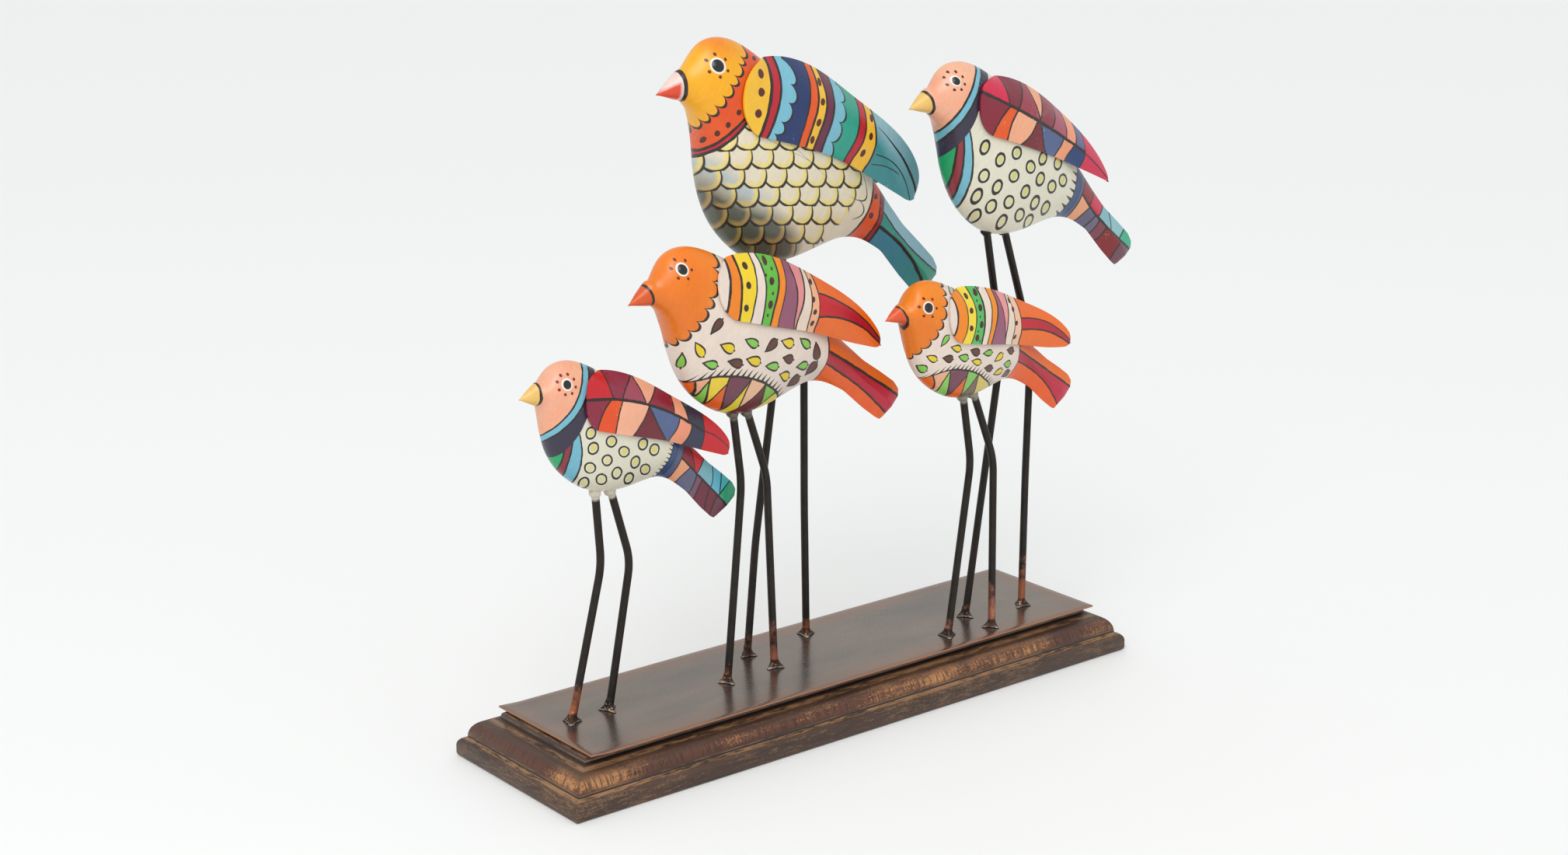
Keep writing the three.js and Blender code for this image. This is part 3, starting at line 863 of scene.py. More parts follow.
class BirdPaint(Finish):
    """The paint of one bird's body or wing, laid on from the back forwards."""

    def __init__(self, name, ground=INK, wrap=0.0):
        """Spots and leaves follow the surface by this much round the breast."""
        super().__init__(name)
        self.raw = self.node("Attribute", {"attribute_name": "pattern"}).outputs["Vector"]
        wander = self.node("TexNoise", Vector=self.raw, Scale=0.22, Detail=2.0).outputs["Color"]
        wander = self.vector("SUBTRACT", wander, (0.5, 0.5, 0.5))
        wander = self.vector("MULTIPLY", wander, (0.55, 0.55, 0.0))
        moved = self.vector("ADD", self.raw, wander)
        self.u, self.v, self.w = self.split(moved)
        self.point = self.combined(self.u, self.v, 1.0)
        self.round = self.w.most(self.w.scaled(-2.0, -11.7))
        self.wrapped = self.u + self.round * wrap
        self.flat = self.combined(self.wrapped, self.v, 0.0)
        self.press = 1.15 + 1.5 * self.noise(self.raw, 0.5, 2.0)
        self.colour = ground
        self.gloss = 0.0

    def border(self, *points):
        """The distance to the left of a line from the first to the last of these points,
        bowed through the middle one."""
        start, end = (Vector(spot) for spot in (points[0], points[-1]))
        length = (end - start).length
        way = (end - start) / length
        left = Vector((-way.y, way.x))
        straight = self.vector("DOT_PRODUCT", self.point, (*left, -left.dot(start)), out="Value")
        if len(points) < 3:
            return straight
        middle = Vector(points[1]) - start
        share = 2 * middle.dot(way) / length - 1
        bow = middle.dot(left) / (1 - share * share)
        scale = 2 / length
        t = self.vector("DOT_PRODUCT", self.point,
                        (*(way * scale), -way.dot(start) * scale - 1), out="Value")
        return straight + (t * t).scaled(bow, -bow)

    def beak(self, *points):
        """The distance inside the beak, in front of a border and above the throat."""
        return (-self.border(*points)).least(self.v + 1.2)

    def cut(self, at, lean, turn, bow=0.0):
        """How far towards the tail of a slanted, bowed cut round the breast."""
        line = self.u.scaled(1.0, -at) - self.v * lean - self.round * turn
        return line - self.v * self.v * bow

    def above(self, points):
        """How far above a line through these points."""
        return self.v - self.course(self.u, points)

    def area(self, distance, fill, line=0.2):
        self.colour = self.stamp(AREA, self.colour, Distance=distance, Fill=fill, Line=line,
                                 Press=self.press)

    def stroke(self, distance, half=0.2, where=1.0):
        line = (half * self.press - abs(distance)).over(0.14) * where
        self.glaze(line, INK)

    def spots(self, centres, size, fill, line=0.0):
        """An oval of this size round each centre."""
        for centre in centres:
            away = self.vector("SUBTRACT", self.flat, (*centre, 0))
            share = self.vector("LENGTH", self.vector("DIVIDE", away, (*size, 1)), out="Value")
            self.area((1.0 - share) * size[0], fill, line)

    def patches(self, first, rows, line):
        """Areas side by side from this first colour on, each over the one before."""
        before = self.colour
        self.colour = tint(*first)
        for *points, fill in rows:
            self.area(self.border(*points), tint(*fill), line)
        painted = self.colour
        self.colour = before
        return painted

    def lobed(self, distance, cusps, depth):
        """A border bulging in round lobes between these cusps down the breast."""
        height = self.v + self.round * 0.5
        phase = self.course(height, [(v, index) for index, v in enumerate(cusps)])
        t = phase.join("FRACT", phase) * 2.0 - 1.0
        lobe = t.join("SQRT", (1.0 - t * t).most(0.0))
        return distance - lobe * depth

    def eye(self, dots, turn, dot_paint, white, pupil):
        """The eye and its circle of dots."""
        face = self.node("Attribute", {"attribute_name": "face"}).outputs["Vector"]
        inputs = {"Face": face, "Dots": dots, "Turn": radians(turn), "Dot Paint": dot_paint,
                  "White": white, "Pupil": pupil}
        self.colour = self.stamp(EYE, self.colour, **inputs)
        self.gloss = self.colour.node.outputs["Gloss"]

    def varnished(self):
        self.colour = self.stamp(VARNISH, self.colour, Place=self.place, Pattern=self.raw,
                                 Gloss=self.gloss)
        coat = self.colour.node.outputs
        return self.dress(Roughness=coat["Roughness"], Normal=coat["Normal"],
                          Coat_Weight=0.18, Coat_Roughness=0.22)


# Paintwork: borders are in hundredths of the bird's length, along from its beak and up
PEACH_HEAD = tint(238, 178, 148)
SKY = tint(116, 180, 200)
NAVY = tint(50, 44, 64)
GREEN = tint(44, 160, 104)
MAROON = tint(138, 52, 62)

# How far the pattern follows a body round the breast, and the size of the scales
BODY_WRAP = 0.6
SCALE_WIDTH = 6.2
SCALE_ROW = 4.4


def paint_scaled_body(name):
    p = BirdPaint(name + "_scaled_body_paint", tint(226, 214, 190), BODY_WRAP)
    wash_line = p.above([(22, -8.2), (28, -9.0), (35, -8.2), (42, -7.4), (49, -8.4), (56, -12.5)])
    wash = wash_line.scaled(-0.24, 0.0, True)
    pale = wash_line.scaled(-0.3, 1.1, True) * wash_line.scaled(0.3, 1.0, True)
    p.glaze(pale * (36.0 - p.u).over(12) * 0.8, tint(158, 178, 186))
    p.glaze(wash * 0.93, tint(62, 70, 60))
    tilt = radians(27)
    across = (p.wrapped * cos(tilt) + p.v * sin(tilt)) * (1 / SCALE_WIDTH)
    down = (p.wrapped * sin(tilt) - p.v * cos(tilt)) * (1 / SCALE_ROW)
    lean = p.combined(across - 0.24 * down, down)
    scaled = p.stamp(SCALES, p.colour, Point=lean, Wash=wash, Press=p.press)
    p.glaze((63.2 - p.u + (p.v - 5) * 0.12).least(16.5 - p.v).over(1.0), scaled)
    for top, turn, foot in (((64.0, 11.6), (66.9, 8.6), (62.4, 5.4)),
                            ((64.9, 6.0), (68.0, 3.2), (66.0, 1.2))):
        near = (top[1] - p.v).over(0.5) * (p.v - foot[1]).over(0.5)
        p.stroke(p.border(top, turn, foot), 0.13, near)
    p.area(-p.cut(22.05, 0.43, -0.33, -0.023), tint(192, 30, 48), 0.24)
    p.area(-p.cut(19.85, 0.39, -0.24), tint(222, 84, 38), 0.2)
    p.spots([(20.2, 19.7), (22.4, 5.9), (21.3, 2.2), (19.8, -0.6), (17.4, -2.8)], (0.7, 0.65),
            tint(70, 24, 20))
    head = p.lobed(p.cut(15.1, 0.33, -0.375, -0.012) + 2.3,
                   (-6.0, -2.0, 1.6, 4.4, 7.5, 10.6, 13.9, 16.2, 18.7, 20.2, 22.0), 2.3)
    p.area(-head, tint(240, 168, 32), 0.22)
    # A pinkish glaze over the front of the crown is painted highlight, where the forehead turns up
    # to the light.
    p.glaze((p.v - 15.5).over(5) * (11.0 - p.u).over(6) * 0.65, tint(232, 116, 62))
    # The beak is pale pink with a red wedge inside it; the pale pink along its upper side is
    # partly the beak's paint and partly painted highlight.
    beak = p.beak((1.5, 9.5), (4.6, 5.1), (8.2, 0.0))
    p.area(beak, tint(236, 204, 196), 0.24)
    wedge = (beak - 1.1).least(-p.border((-0.4, 0.2), (3.4, 5.2)))
    p.glaze(wedge.over(0.7), tint(222, 84, 60))
    p.area(p.border((68.5, 14), (69.7, 5), (69.6, -3)), tint(222, 84, 42), 0.2)
    p.spots([(73.5, 4.8), (72.4, 9.6)], (0.75, 0.75), tint(70, 30, 26))
    p.area(p.border((72.8, 11.5), (74.3, 5.5), (75.4, -3)), tint(150, 32, 46), 0.16)
    tail = p.border((75.0, 11.5), (76.0, 5.5), (77.3, -3))
    p.area(tail, tint(66, 128, 152), 0.2)
    low = tail.over(0.4)
    middle = p.border((74, 3.9), (86, 3.1), (99, -1.6))
    teal = p.mixed((p.u - 84).over(26), tint(54, 130, 124), tint(48, 148, 126))
    p.glaze(middle.over(0.3) * low, teal)
    p.glaze((p.u - 90).over(14) * (1.0 - middle.over(0.3)) * 0.7, tint(56, 140, 130))
    upper = p.border((74, 8.2), (84, 5.2), (102, 3.2))
    p.glaze(upper.over(0.3) * low, tint(138, 182, 198))
    p.stroke(middle, 0.22, low)
    p.stroke(upper, 0.12, low)
    p.eye(6, 3, tint(104, 34, 22), 0.72, 0.56)
    return p.varnished()


# The bands of the banded wing: top, middle and foot of the front edge, paint, line
BANDS = [((21.5, 21.0), (24.0, 13.5), (25.0, 6.5), "red", 0.26),
         ((23.7, 23.0), (26.5, 15.5), (27.3, 8.0), "sky", 0.2),
         ((26.5, 23.5), (29.2, 15.5), (28.6, 7.0), "navy", 0.18),
         ((32.5, 26.0), (35.3, 17.5), (36.5, 9.0), "orange", 0.15),
         ((35.0, 26.3), (38.0, 18.3), (39.0, 9.5), "yellow", 0.18),
         ((37.2, 26.5), (40.7, 19.0), (41.6, 9.5), "plum", 0.18),
         ((41.0, 27.0), (43.3, 19.3), (44.4, 10.0), "sky", 0.18),
         ((44.0, 27.0), (45.6, 18.5), (46.5, 9.5), "teal", 0.15),
         ((51.5, 26.3), (52.9, 20.0), (53.2, 11.0), "red", 0.15),
         ((54.3, 26.0), (55.5, 20.0), (55.5, 11.0), "yellow", 0.15)]
BAND_PAINT = {"red": tint(184, 26, 46), "sky": tint(120, 182, 202), "navy": tint(30, 50, 98),
              "orange": tint(226, 88, 30), "yellow": tint(240, 186, 68),
              "plum": tint(102, 38, 66), "teal": tint(44, 154, 132)}
BAND_LOBES = {"navy": ((3.5, 6.6, 10.2, 15.0, 19.4, 24.2), 2.3),
              "teal": ((5.5, 9.4, 13.5, 18.5, 23.2, 27.0), 2.1)}
# The spots laid on after a band, counted from 1
BAND_SPOTS = {5: [(37.3, 24.0), (39.0, 19.8), (40.1, 14.9), (40.2, 10.5)],
              10: [(57.0, 24.4), (57.6, 20.1), (57.4, 15.4)]}


def paint_banded_wing(name):
    p = BirdPaint(name + "_banded_wing_paint", BAND_PAINT["yellow"])
    dark = tint(84, 32, 22)
    p.spots([(19.6, 16.9), (21.0, 12.9), (22.1, 8.1)], (1.0, 1.05), dark)
    for index, (*points, paint, line) in enumerate(BANDS, 1):
        distance = p.border(*points)
        if paint in BAND_LOBES:
            distance = p.lobed(distance, *BAND_LOBES[paint])
        p.area(distance, BAND_PAINT[paint], line)
        p.spots(BAND_SPOTS.get(index, ()), (0.7, 0.95), dark)
    tip = p.border((57.3, 26.0), (59.9, 19.5), (61.0, 11.0))
    p.area(tip, tint(142, 184, 196), 0.18)
    # Below this line the tip's pale blue is glazed teal, deeper further down: painted shade on the
    # tip's lower facet.
    shade = p.border((58, 23.5), (69, 19.2), (80, 14))
    p.glaze((tip - 0.3).over(0.3) * shade.scaled(-0.25, 0.2, True), tint(56, 134, 138))
    p.glaze((p.u - 70).over(10) * 0.6, tint(54, 128, 136))
    on_tip = (tip - 1.0).over(0.4)
    ridge = p.border((61, 23.2), (70, 20.8), (78, 16.8))
    thick = (0.12 + 0.024 * (p.u - 62.0)).least(0.4)
    p.glaze((thick - abs(ridge)).over(0.14) * on_tip, INK)
    p.stroke(p.border((61, 16.9), (69, 17.9), (77, 14.6)), 0.08, on_tip)
    p.stroke(p.border((60, 13.4), (66, 16.0), (72, 16.5)), 0.07, on_tip * (71.5 - p.u).over(1))
    return p.varnished()


# The ringed bodies: beak, band, root and ridge are borders; peach to arc are cuts round
# the breast; rings are centres, all of one size; the fringe has a length, a spacing and
# a shift; the tail's patches are front edges, each with its paint; the eye comes last.
BODY_DATA = {
    "upper_bird": {
        "beak": ((0.5, 7.8), (4.6, 5.0), (8.5, 0.5)),
        "peach": (13.6, 0.36, -0.54, -0.013), "sky": (16.5, 0.41, -0.6, -0.017),
        "navy": (21.2, 0.33, -0.62, -0.03),
        "green": (19.0, -0.66, -0.6, -0.014), "maroon": (21.3, -0.76, -0.6, -0.019),
        "arc": (24.4, -0.9, -0.6, -0.03),
        "rings": [(29.1, 0.9), (36.1, 0.2), (40.8, 4.5), (47.9, 3.4), (51.3, 7.8), (58.2, 9.5),
                  (33.3, -5.8), (43.4, -1.4), (39.4, -6.5), (53.6, 2.2), (59.4, 2.7), (62.9, 6.3),
                  (34.5, -11.3), (50.1, -3.3), (40.8, -11.7), (46.0, -8.2), (55.7, -4.0),
                  (61.0, -3.3), (37.7, -15.7), (52.3, -9.3), (47.3, -13.5), (57.2, -9.0)],
        "ring": (1.7, 1.8), "fringe": (3.2, 2.45, 1.1),
        "band": ((66.3, 12), (67.0, 5), (67.4, -4)), "root": ((72.3, 12.5), (71.5, 5.5), (73, -4)),
        "ridge": ((70, 7.4), (82.6, 4.2), (102.5, 2.0)),
        "upper": [((79.0, 12), (78.4, 9.8), (76.6, 5.0), (202, 46, 78)),
                  ((84.8, 10.5), (83.8, 7), (81.6, 3.5), (128, 178, 188)),
                  ((86.5, 9.5), (88.8, 6.5), (89.9, 2.5), (136, 186, 190)),
                  ((97.6, 9), (96.2, 5.0), (94.4, 1.5), (60, 168, 134))],
        "lower": [((78.2, 7.5), (76.8, 3.8), (75.4, -3), (94, 88, 114)),
                  ((81.5, 6), (81.0, 2.5), (79.6, -3), (108, 96, 122)),
                  ((82.6, 5.5), (84.0, 1.6), (82.5, -3), (122, 62, 76)),
                  ((86.8, 4), (87.6, 1), (86.2, -3), (126, 28, 38)),
                  ((95.6, 3), (95.8, 0), (96.4, -5), (108, 68, 82))],
        "eye": (8, 8, tint(58, 24, 16), 0.56, 0.42), "yellow": tint(208, 202, 118),
    },
    "left_bird": {
        "beak": ((2.6, 9.0), (5.3, 4.6), (7.8, -0.2)),
        "peach": (18.9, 0.45, -0.59, -0.027), "sky": (22.2, 0.46, -0.63, -0.028),
        "navy": (22.59, 0.0189, 0.0, -0.0095),
        "green": (17.4, -1.25, -0.6, -0.044), "maroon": (24.2, -0.51, -0.6, -0.011),
        "arc": (25.9, -1.15, -0.6, -0.039),
        "rings": [(31.6, 0.5), (35.2, -3.7), (40.9, 1.1), (47.7, -0.1), (53.9, 5.1), (59.7, 5.3),
                  (42.7, -5.2), (37.7, -10.0), (54.2, -1.5), (48.9, -7.6), (59.8, -2.2),
                  (44.2, -11.7), (54.9, -7.4), (38.4, -15.4)],
        "ring": (2.1, 1.87), "fringe": (2.2, 1.55, 0.3),
        "band": ((64.0, 14), (64.9, 5), (64.4, -4)), "root": ((71.2, 13), (71.0, 6), (71.8, -4)),
        "ridge": ((69, 7.8), (84, 4.0), (100.8, -0.4)),
        "upper": [((74.4, 12), (76.8, 9.6), (79.4, 5.5), (200, 26, 44)),
                  ((83.4, 13), (82.6, 9.4), (80.6, 4.5), (122, 174, 188)),
                  ((86.6, 11.5), (89.2, 7.3), (89.2, 1.5), (100, 174, 196)),
                  ((92.6, 10.5), (94.0, 6), (95.4, 0.5), (80, 174, 184)),
                  ((98.4, 9), (96.8, 5.4), (94.9, 1.5), (56, 158, 118))],
        "lower": [((77.6, 7.5), (76.2, 4.1), (75.0, -3), (94, 94, 122)),
                  ((80.0, 6), (82.4, 1.5), (83.2, -4), (118, 78, 98)),
                  ((84.0, 5), (85.0, 1.6), (86.2, -4), (106, 42, 60)),
                  ((88.4, 3.5), (90.4, -0.5), (92.6, -5), (110, 40, 54)),
                  ((93.8, 2), (94.8, -1.8), (96.0, -6), (104, 56, 72))],
        "eye": (8, 10, tint(120, 30, 26), 0.6, 0.44), "yellow": tint(218, 206, 112),
    },
}


def paint_ringed_body(name):
    d = BODY_DATA[name]
    p = BirdPaint(name + "_ringed_body_paint", tint(222, 218, 198), BODY_WRAP)
    wide, tall = d["ring"]
    for index, (x, y) in enumerate(d["rings"]):
        squeeze = 0.9 + 0.05 * (index % 4)
        p.spots([(x, y)], (wide * squeeze, tall * (1.95 - squeeze)), tint(222, 218, 190), 0.19)
        before = p.colour
        p.spots([(x, y + 0.1)], (wide * 0.55, tall * 0.6), d["yellow"])
        p.colour = p.mixed(0.95 if y > -4 else 0.5, before, p.colour)
    band = p.border(*d["band"])
    length, period, phase = d["fringe"]
    p.colour = p.stamp(FRINGE, p.colour, Distance=-band, Along=p.v / period + phase,
                       Length=length, Width=0.2)
    for key, fill in (("arc", SKY), ("maroon", MAROON), ("green", GREEN)):
        p.area((-p.cut(*d[key])).least(4.0 - p.v), fill, 0.2)
    sky = -p.cut(*d["sky"])
    p.area((-p.cut(*d["navy"])).most(sky + 3.0), NAVY, 0.0)
    p.area(sky, SKY, 0.2)
    peach = -p.cut(*d["peach"])
    p.area(peach, PEACH_HEAD, 0.2)
    warm = p.noise(p.place, 75, 1.0).scaled(2.2, -0.75, True)
    p.glaze(warm * (peach - 0.6).over(0.6) * 0.5, tint(234, 140, 106))
    p.area(p.beak(*d["beak"]), tint(232, 188, 110), 0.2)
    p.area(band, tint(42, 72, 118), 0.12)
    p.area(band - 3.0, tint(80, 86, 120), 0.08)
    before = p.colour
    low = p.patches((230, 160, 122), d["lower"], 0.14)
    high = p.patches((138, 28, 46), d["upper"], 0.14)
    root = p.border(*d["root"])
    ridge = p.border(*d["ridge"])
    p.colour = p.mixed(ridge.over(0.15), low, high)
    p.stroke(ridge, 0.2)
    p.colour = p.mixed(root.over(0.3), before, p.colour)
    p.stroke(root, 0.14)
    p.eye(*d["eye"])
    return p.varnished()


# The patchwork wings: the front edges of the patches above and below the midrib, each
# with its paint, the two paints before them, the tip's front edge and paint, and a vein
WING_DATA = {
    "upper_bird": {
        "midrib": ((14, 13.6), (40, 16.0), (64, 16.6)),
        "upper": [((22.2, 23), (24.7, 19.2), (27.0, 14.5), (122, 40, 56)),
                  ((31.6, 26), (31.3, 19.9), (29.9, 14.5), (150, 62, 78)),
                  ((33.2, 25.5), (36.6, 20.6), (41.0, 15.2), (236, 164, 128)),
                  ((40.9, 26.5), (39.9, 20.3), (40.2, 14.5), (136, 56, 70)),
                  ((46.0, 25), (46.2, 21.2), (45.2, 15.5), (166, 86, 104)),
                  ((49.0, 25), (51.6, 20.8), (52.9, 15.5), (238, 154, 122)),
                  ((55.4, 24), (57.0, 20.0), (57.4, 15.5), (98, 98, 138))],
        "lower": [((28.4, 16.5), (25.0, 10.5), (24.0, 3.5), (226, 84, 32)),
                  ((30.9, 16.5), (29.3, 10.9), (29.8, 4.5), (238, 168, 134)),
                  ((38.8, 17.5), (38.0, 11.6), (32.5, 5.0), (112, 26, 40)),
                  ((39.5, 17.5), (42.6, 13.0), (46.9, 8.5), (78, 94, 134)),
                  ((51.4, 18.5), (51.6, 13.8), (49.4, 8.5), (236, 154, 120)),
                  ((57.6, 18.5), (56.4, 14.2), (56.0, 9.5), (24, 56, 108))],
        "first": ((210, 38, 72), (130, 34, 52)),
        "tip": ((60.6, 21.5), (62.6, 16.3), (64.3, 11.0), (208, 56, 82)),
        "vein": ((64, 16.2), (70, 15.6), (77, 14.4)),
    },
    "left_bird": {
        "midrib": ((16, 8.2), (38, 16.6), (72, 18.7)),
        "upper": [((22.4, 24), (26.7, 17.5), (30.6, 13.2), (136, 46, 68)),
                  ((37.2, 26), (34.2, 20.2), (33.0, 14.0), (154, 70, 88)),
                  ((35.4, 26), (40.2, 21.6), (44.6, 17.0), (238, 166, 136)),
                  ((49.0, 26.5), (45.9, 21.0), (43.8, 16.5), (138, 40, 58)),
                  ((54.6, 26.5), (56.4, 22.5), (57.4, 18.0), (238, 158, 130)),
                  ((59.4, 26), (62.4, 22.7), (65.6, 18.0), (50, 48, 66))],
        "lower": [((30.4, 16), (27.2, 9.7), (27.6, 1.5), (226, 78, 36)),
                  ((33.6, 17), (33.4, 11.1), (35.2, 2.5), (240, 174, 144)),
                  ((45.2, 19), (44.5, 12.1), (41.5, 3.5), (108, 26, 40)),
                  ((44.6, 18), (50.0, 14.4), (60.0, 9.5), (82, 98, 138)),
                  ((59.8, 20.5), (60.5, 14.6), (59.6, 8.5), (236, 150, 122)),
                  ((65.4, 20.5), (67.1, 15.6), (66.5, 9.5), (46, 50, 74))],
        "first": ((198, 28, 42), (134, 40, 62)),
        "tip": ((70.2, 25), (73.0, 18.8), (75.4, 12.5), (196, 28, 40)),
        "vein": ((72.6, 18.8), (79.7, 19.2), (88, 17.4)),
    },
}


def paint_patchwork_wing(name):
    d = WING_DATA[name]
    p = BirdPaint(name + "_patchwork_wing_paint")
    front_high, front_low = d["first"]
    low = p.patches(front_low, d["lower"], 0.16)
    high = p.patches(front_high, d["upper"], 0.15)
    rib = p.border(*d["midrib"])
    p.colour = p.mixed(rib.over(0.15), low, high)
    p.stroke(rib, 0.26)
    *points, fill = d["tip"]
    tip = p.border(*points)
    p.area(tip, tint(*fill), 0.12)
    p.stroke(p.border(*d["vein"]), 0.1, tip.over(0.3))
    return p.varnished()


# The leafy bodies: the head ends in a cut with lobes between cusps; each leaf has a
# centre, a point it looks at and a paint; cells are front edges below the belly line,
# with their paints, after a first paint; the tail has a root and two lines.
LEAFY_DATA = {
    "middle_bird": {
        "beak": ((0.5, 8.0), (4.5, 4.9), (7.4, 0.5)), "head": (21.1, 0.43, -0.3, -0.02),
        "cusps": (-9.5, -5.8, -2.0, 2.6, 6.2, 10.2, 13.3, 17.2, 19.9, 22.1, 24.5),
        "leaves": [(28.9, 3.0, 27.0, -1.4, "brown"), (26.2, -4.4, 23.4, -2.6, "yellow"),
                   (34.7, -1.4, 31.1, -1.3, "yellow"), (42.1, 2.2, 38.8, 2.5, "green"),
                   (49.0, 3.3, 46.2, -0.9, "brown"), (54.5, 5.6, 51.4, 5.5, "yellow"),
                   (60.9, 7.3, 57.9, 8.2, "green"), (66.1, 6.4, 64.0, 10.0, "brown"),
                   (22.4, -8.7, 21.4, -6.2, "green"), (31.4, -7.1, 27.7, -7.6, "green"),
                   (39.1, -4.4, 35.7, -4.7, "brown"), (44.9, -2.2, 41.6, -2.4, "yellow"),
                   (51.9, -1.9, 48.9, -2.6, "green"), (56.6, 1.6, 54.0, 1.3, "brown"),
                   (57.5, -3.1, 54.9, -3.1, "yellow"), (62.7, 1.2, 60.0, 0.0, "green"),
                   (66.5, 1.5, 64.4, -2.4, "brown"), (61.8, -3.6, 59.1, -6.6, "brown")],
        "belly": [(24.5, -15.5), (28.4, -11.0), (34.0, -8.4), (42.0, -6.9), (50.0, -7.2),
                  (57.5, -9.6)],
        "fringe": 1.85,
        "cells": [((26.5, -12.5), (28.5, -15), (31, -17.5), (232, 170, 138)),
                  ((29.7, -11), (29.5, -14), (31, -17.5), (132, 194, 84)),
                  ((29.5, -11), (31.5, -14.5), (34.5, -18), (232, 204, 72)),
                  ((35, -10), (34, -14), (34.2, -18), (228, 98, 38)),
                  ((34.2, -8), (36, -13), (40, -18.5), (108, 58, 74)),
                  ((41.4, -6.5), (40.3, -13), (39.4, -18.5), (222, 196, 64)),
                  ((41.5, -6.5), (42, -11), (44, -16.5), (232, 184, 150)),
                  ((47.5, -7), (45.5, -12), (43.3, -16), (102, 38, 46)),
                  ((47.7, -7), (49, -10), (51.5, -14), (128, 190, 84)),
                  ((54.5, -7.5), (52, -10.3), (50.5, -13.5), (226, 204, 100))],
        "first": (230, 98, 34), "root": ((66.5, 13), (69.0, 6), (69.0, -4)),
        "top_line": ((66, 8.0), (84, 5.9), (102, 3.2)),
        "low_line": ((66, 4.5), (83, 2.1), (100, -3.0)),
        "eye": (6, 17, tint(104, 36, 20), 0.66, 0.5), "head_paint": tint(238, 124, 26),
        "beak_paint": tint(212, 90, 40),
    },
    "right_bird": {
        "beak": ((1.0, 7.8), (5.6, 5.0), (9.4, 0.5)), "head": (24.9, 0.47, -0.74, -0.033),
        "cusps": (-15.0, -10.7, -6.3, -1.7, 3.2, 7.6, 11.6, 16.0, 19.0, 20.8, 23.0),
        "leaves": [(28.5, 1.2, 27.0, -2.6, "green"), (35.0, 0.1, 31.0, -0.3, "yellow"),
                   (44.7, 1.6, 40.9, 1.6, "brown"), (51.3, 3.0, 48.2, 1.9, "green"),
                   (58.0, 3.2, 55.8, 0.4, "yellow"), (63.2, 7.3, 60.5, 6.8, "brown"),
                   (25.9, -6.4, 21.9, -6.4, "yellow"), (33.0, -4.4, 29.6, -4.9, "brown"),
                   (40.1, -1.9, 36.5, -2.4, "green"), (47.2, -1.6, 43.6, -2.0, "yellow"),
                   (54.6, -2.0, 51.7, -2.8, "brown"), (63.9, 2.2, 61.4, 1.3, "green"),
                   (60.7, -1.9, 58.0, -3.8, "yellow"), (65.7, -1.2, 63.5, -3.2, "brown"),
                   (23.8, -10.9, 18.9, -10.4, "green"), (24.6, 19.9, 22.6, 22.4, "pale")],
        "belly": [(24.5, -16.5), (28.0, -10.7), (35.4, -6.6), (44.0, -5.5), (51.5, -6.2),
                  (57.5, -7.6)],
        "fringe": 1.95,
        "cells": [((27, -12), (29.5, -14), (33, -17), (232, 174, 140)),
                  ((32, -8.5), (32.3, -13), (34.5, -17), (140, 198, 96)),
                  ((32, -8), (35, -12.5), (40, -17.5), (114, 66, 82)),
                  ((40.5, -7.5), (39.4, -12.5), (40, -17.5), (232, 104, 48)),
                  ((40, -5.5), (41.5, -10), (45.5, -15.5), (134, 192, 96)),
                  ((46, -5.5), (45.2, -10), (45, -14.5), (116, 96, 78)),
                  ((46, -5.5), (48, -9), (52, -13.5), (214, 194, 102))],
        "first": (232, 104, 48), "root": ((65.0, 13), (66.7, 5), (67.2, -5)),
        "top_line": ((64, 9.3), (84, 6.6), (103, 3.7)),
        "low_line": ((64, 4.6), (82, 3.0), (99.5, -4.8)),
        "eye": (6, 15, tint(104, 30, 22), 0.64, 0.5), "head_paint": tint(240, 132, 28),
        "beak_paint": tint(218, 90, 58),
    },
}
LEAF_PAINT = {"brown": tint(94, 54, 44), "yellow": tint(228, 198, 58),
              "green": tint(132, 194, 86), "pale": tint(196, 196, 176)}


def paint_leafy_body(name):
    d = LEAFY_DATA[name]
    p = BirdPaint(name + "_leafy_body_paint", tint(228, 211, 198), BODY_WRAP)
    for index, (x, y, tip_x, tip_y, kind) in enumerate(d["leaves"]):
        reach = Vector((tip_x - x, tip_y - y, 0))
        reach = reach.normalized() * min(2.5, reach.length * 0.74)
        p.colour = p.stamp(LEAF, p.colour, Point=p.flat, Centre=(x, y, 0),
                           Tip=(x + reach.x, y + reach.y, 0), Width=1.1 + 0.08 * (index % 3),
                           Fill=LEAF_PAINT[kind], Line=0.14, Press=p.press)
    belly = p.above(d["belly"])
    p.colour = p.stamp(FRINGE, p.colour, Distance=belly, Along=(p.u + belly * -0.35)
                       / d["fringe"], Length=2.5, Width=0.24)
    p.glaze((-belly).over(0.14), p.patches(d["first"], d["cells"], 0.13))
    p.stroke(belly, 0.18)
    head = p.lobed(p.cut(*d["head"]) + 2.6, d["cusps"], 2.6)
    p.area(-head, d["head_paint"], 0.26)
    p.glaze((-head - 0.5).over(0.8) * (10.0 - p.v).over(14) * 0.5, tint(212, 104, 40))
    p.area(p.beak(*d["beak"]), d["beak_paint"], 0.18)
    root = p.border(*d["root"])
    p.area(root, tint(234, 106, 34), 0.2)
    on_tail = root.over(0.3)
    low = p.border(*d["low_line"])
    top = p.border(*d["top_line"])
    # Below the lower line the tail's orange is laid again a little redder: painted shade on the
    # tail's lower facet.
    p.glaze((-low).over(0.2) * on_tail, tint(232, 102, 54))
    red = p.mixed((p.u - 88).over(26), tint(168, 28, 44), tint(194, 46, 68))
    p.glaze(low.over(0.2) * (-top).over(0.2) * on_tail, red)
    p.stroke(top, 0.22, on_tail)
    p.stroke(low, 0.15, on_tail)
    p.eye(*d["eye"])
    return p.varnished()


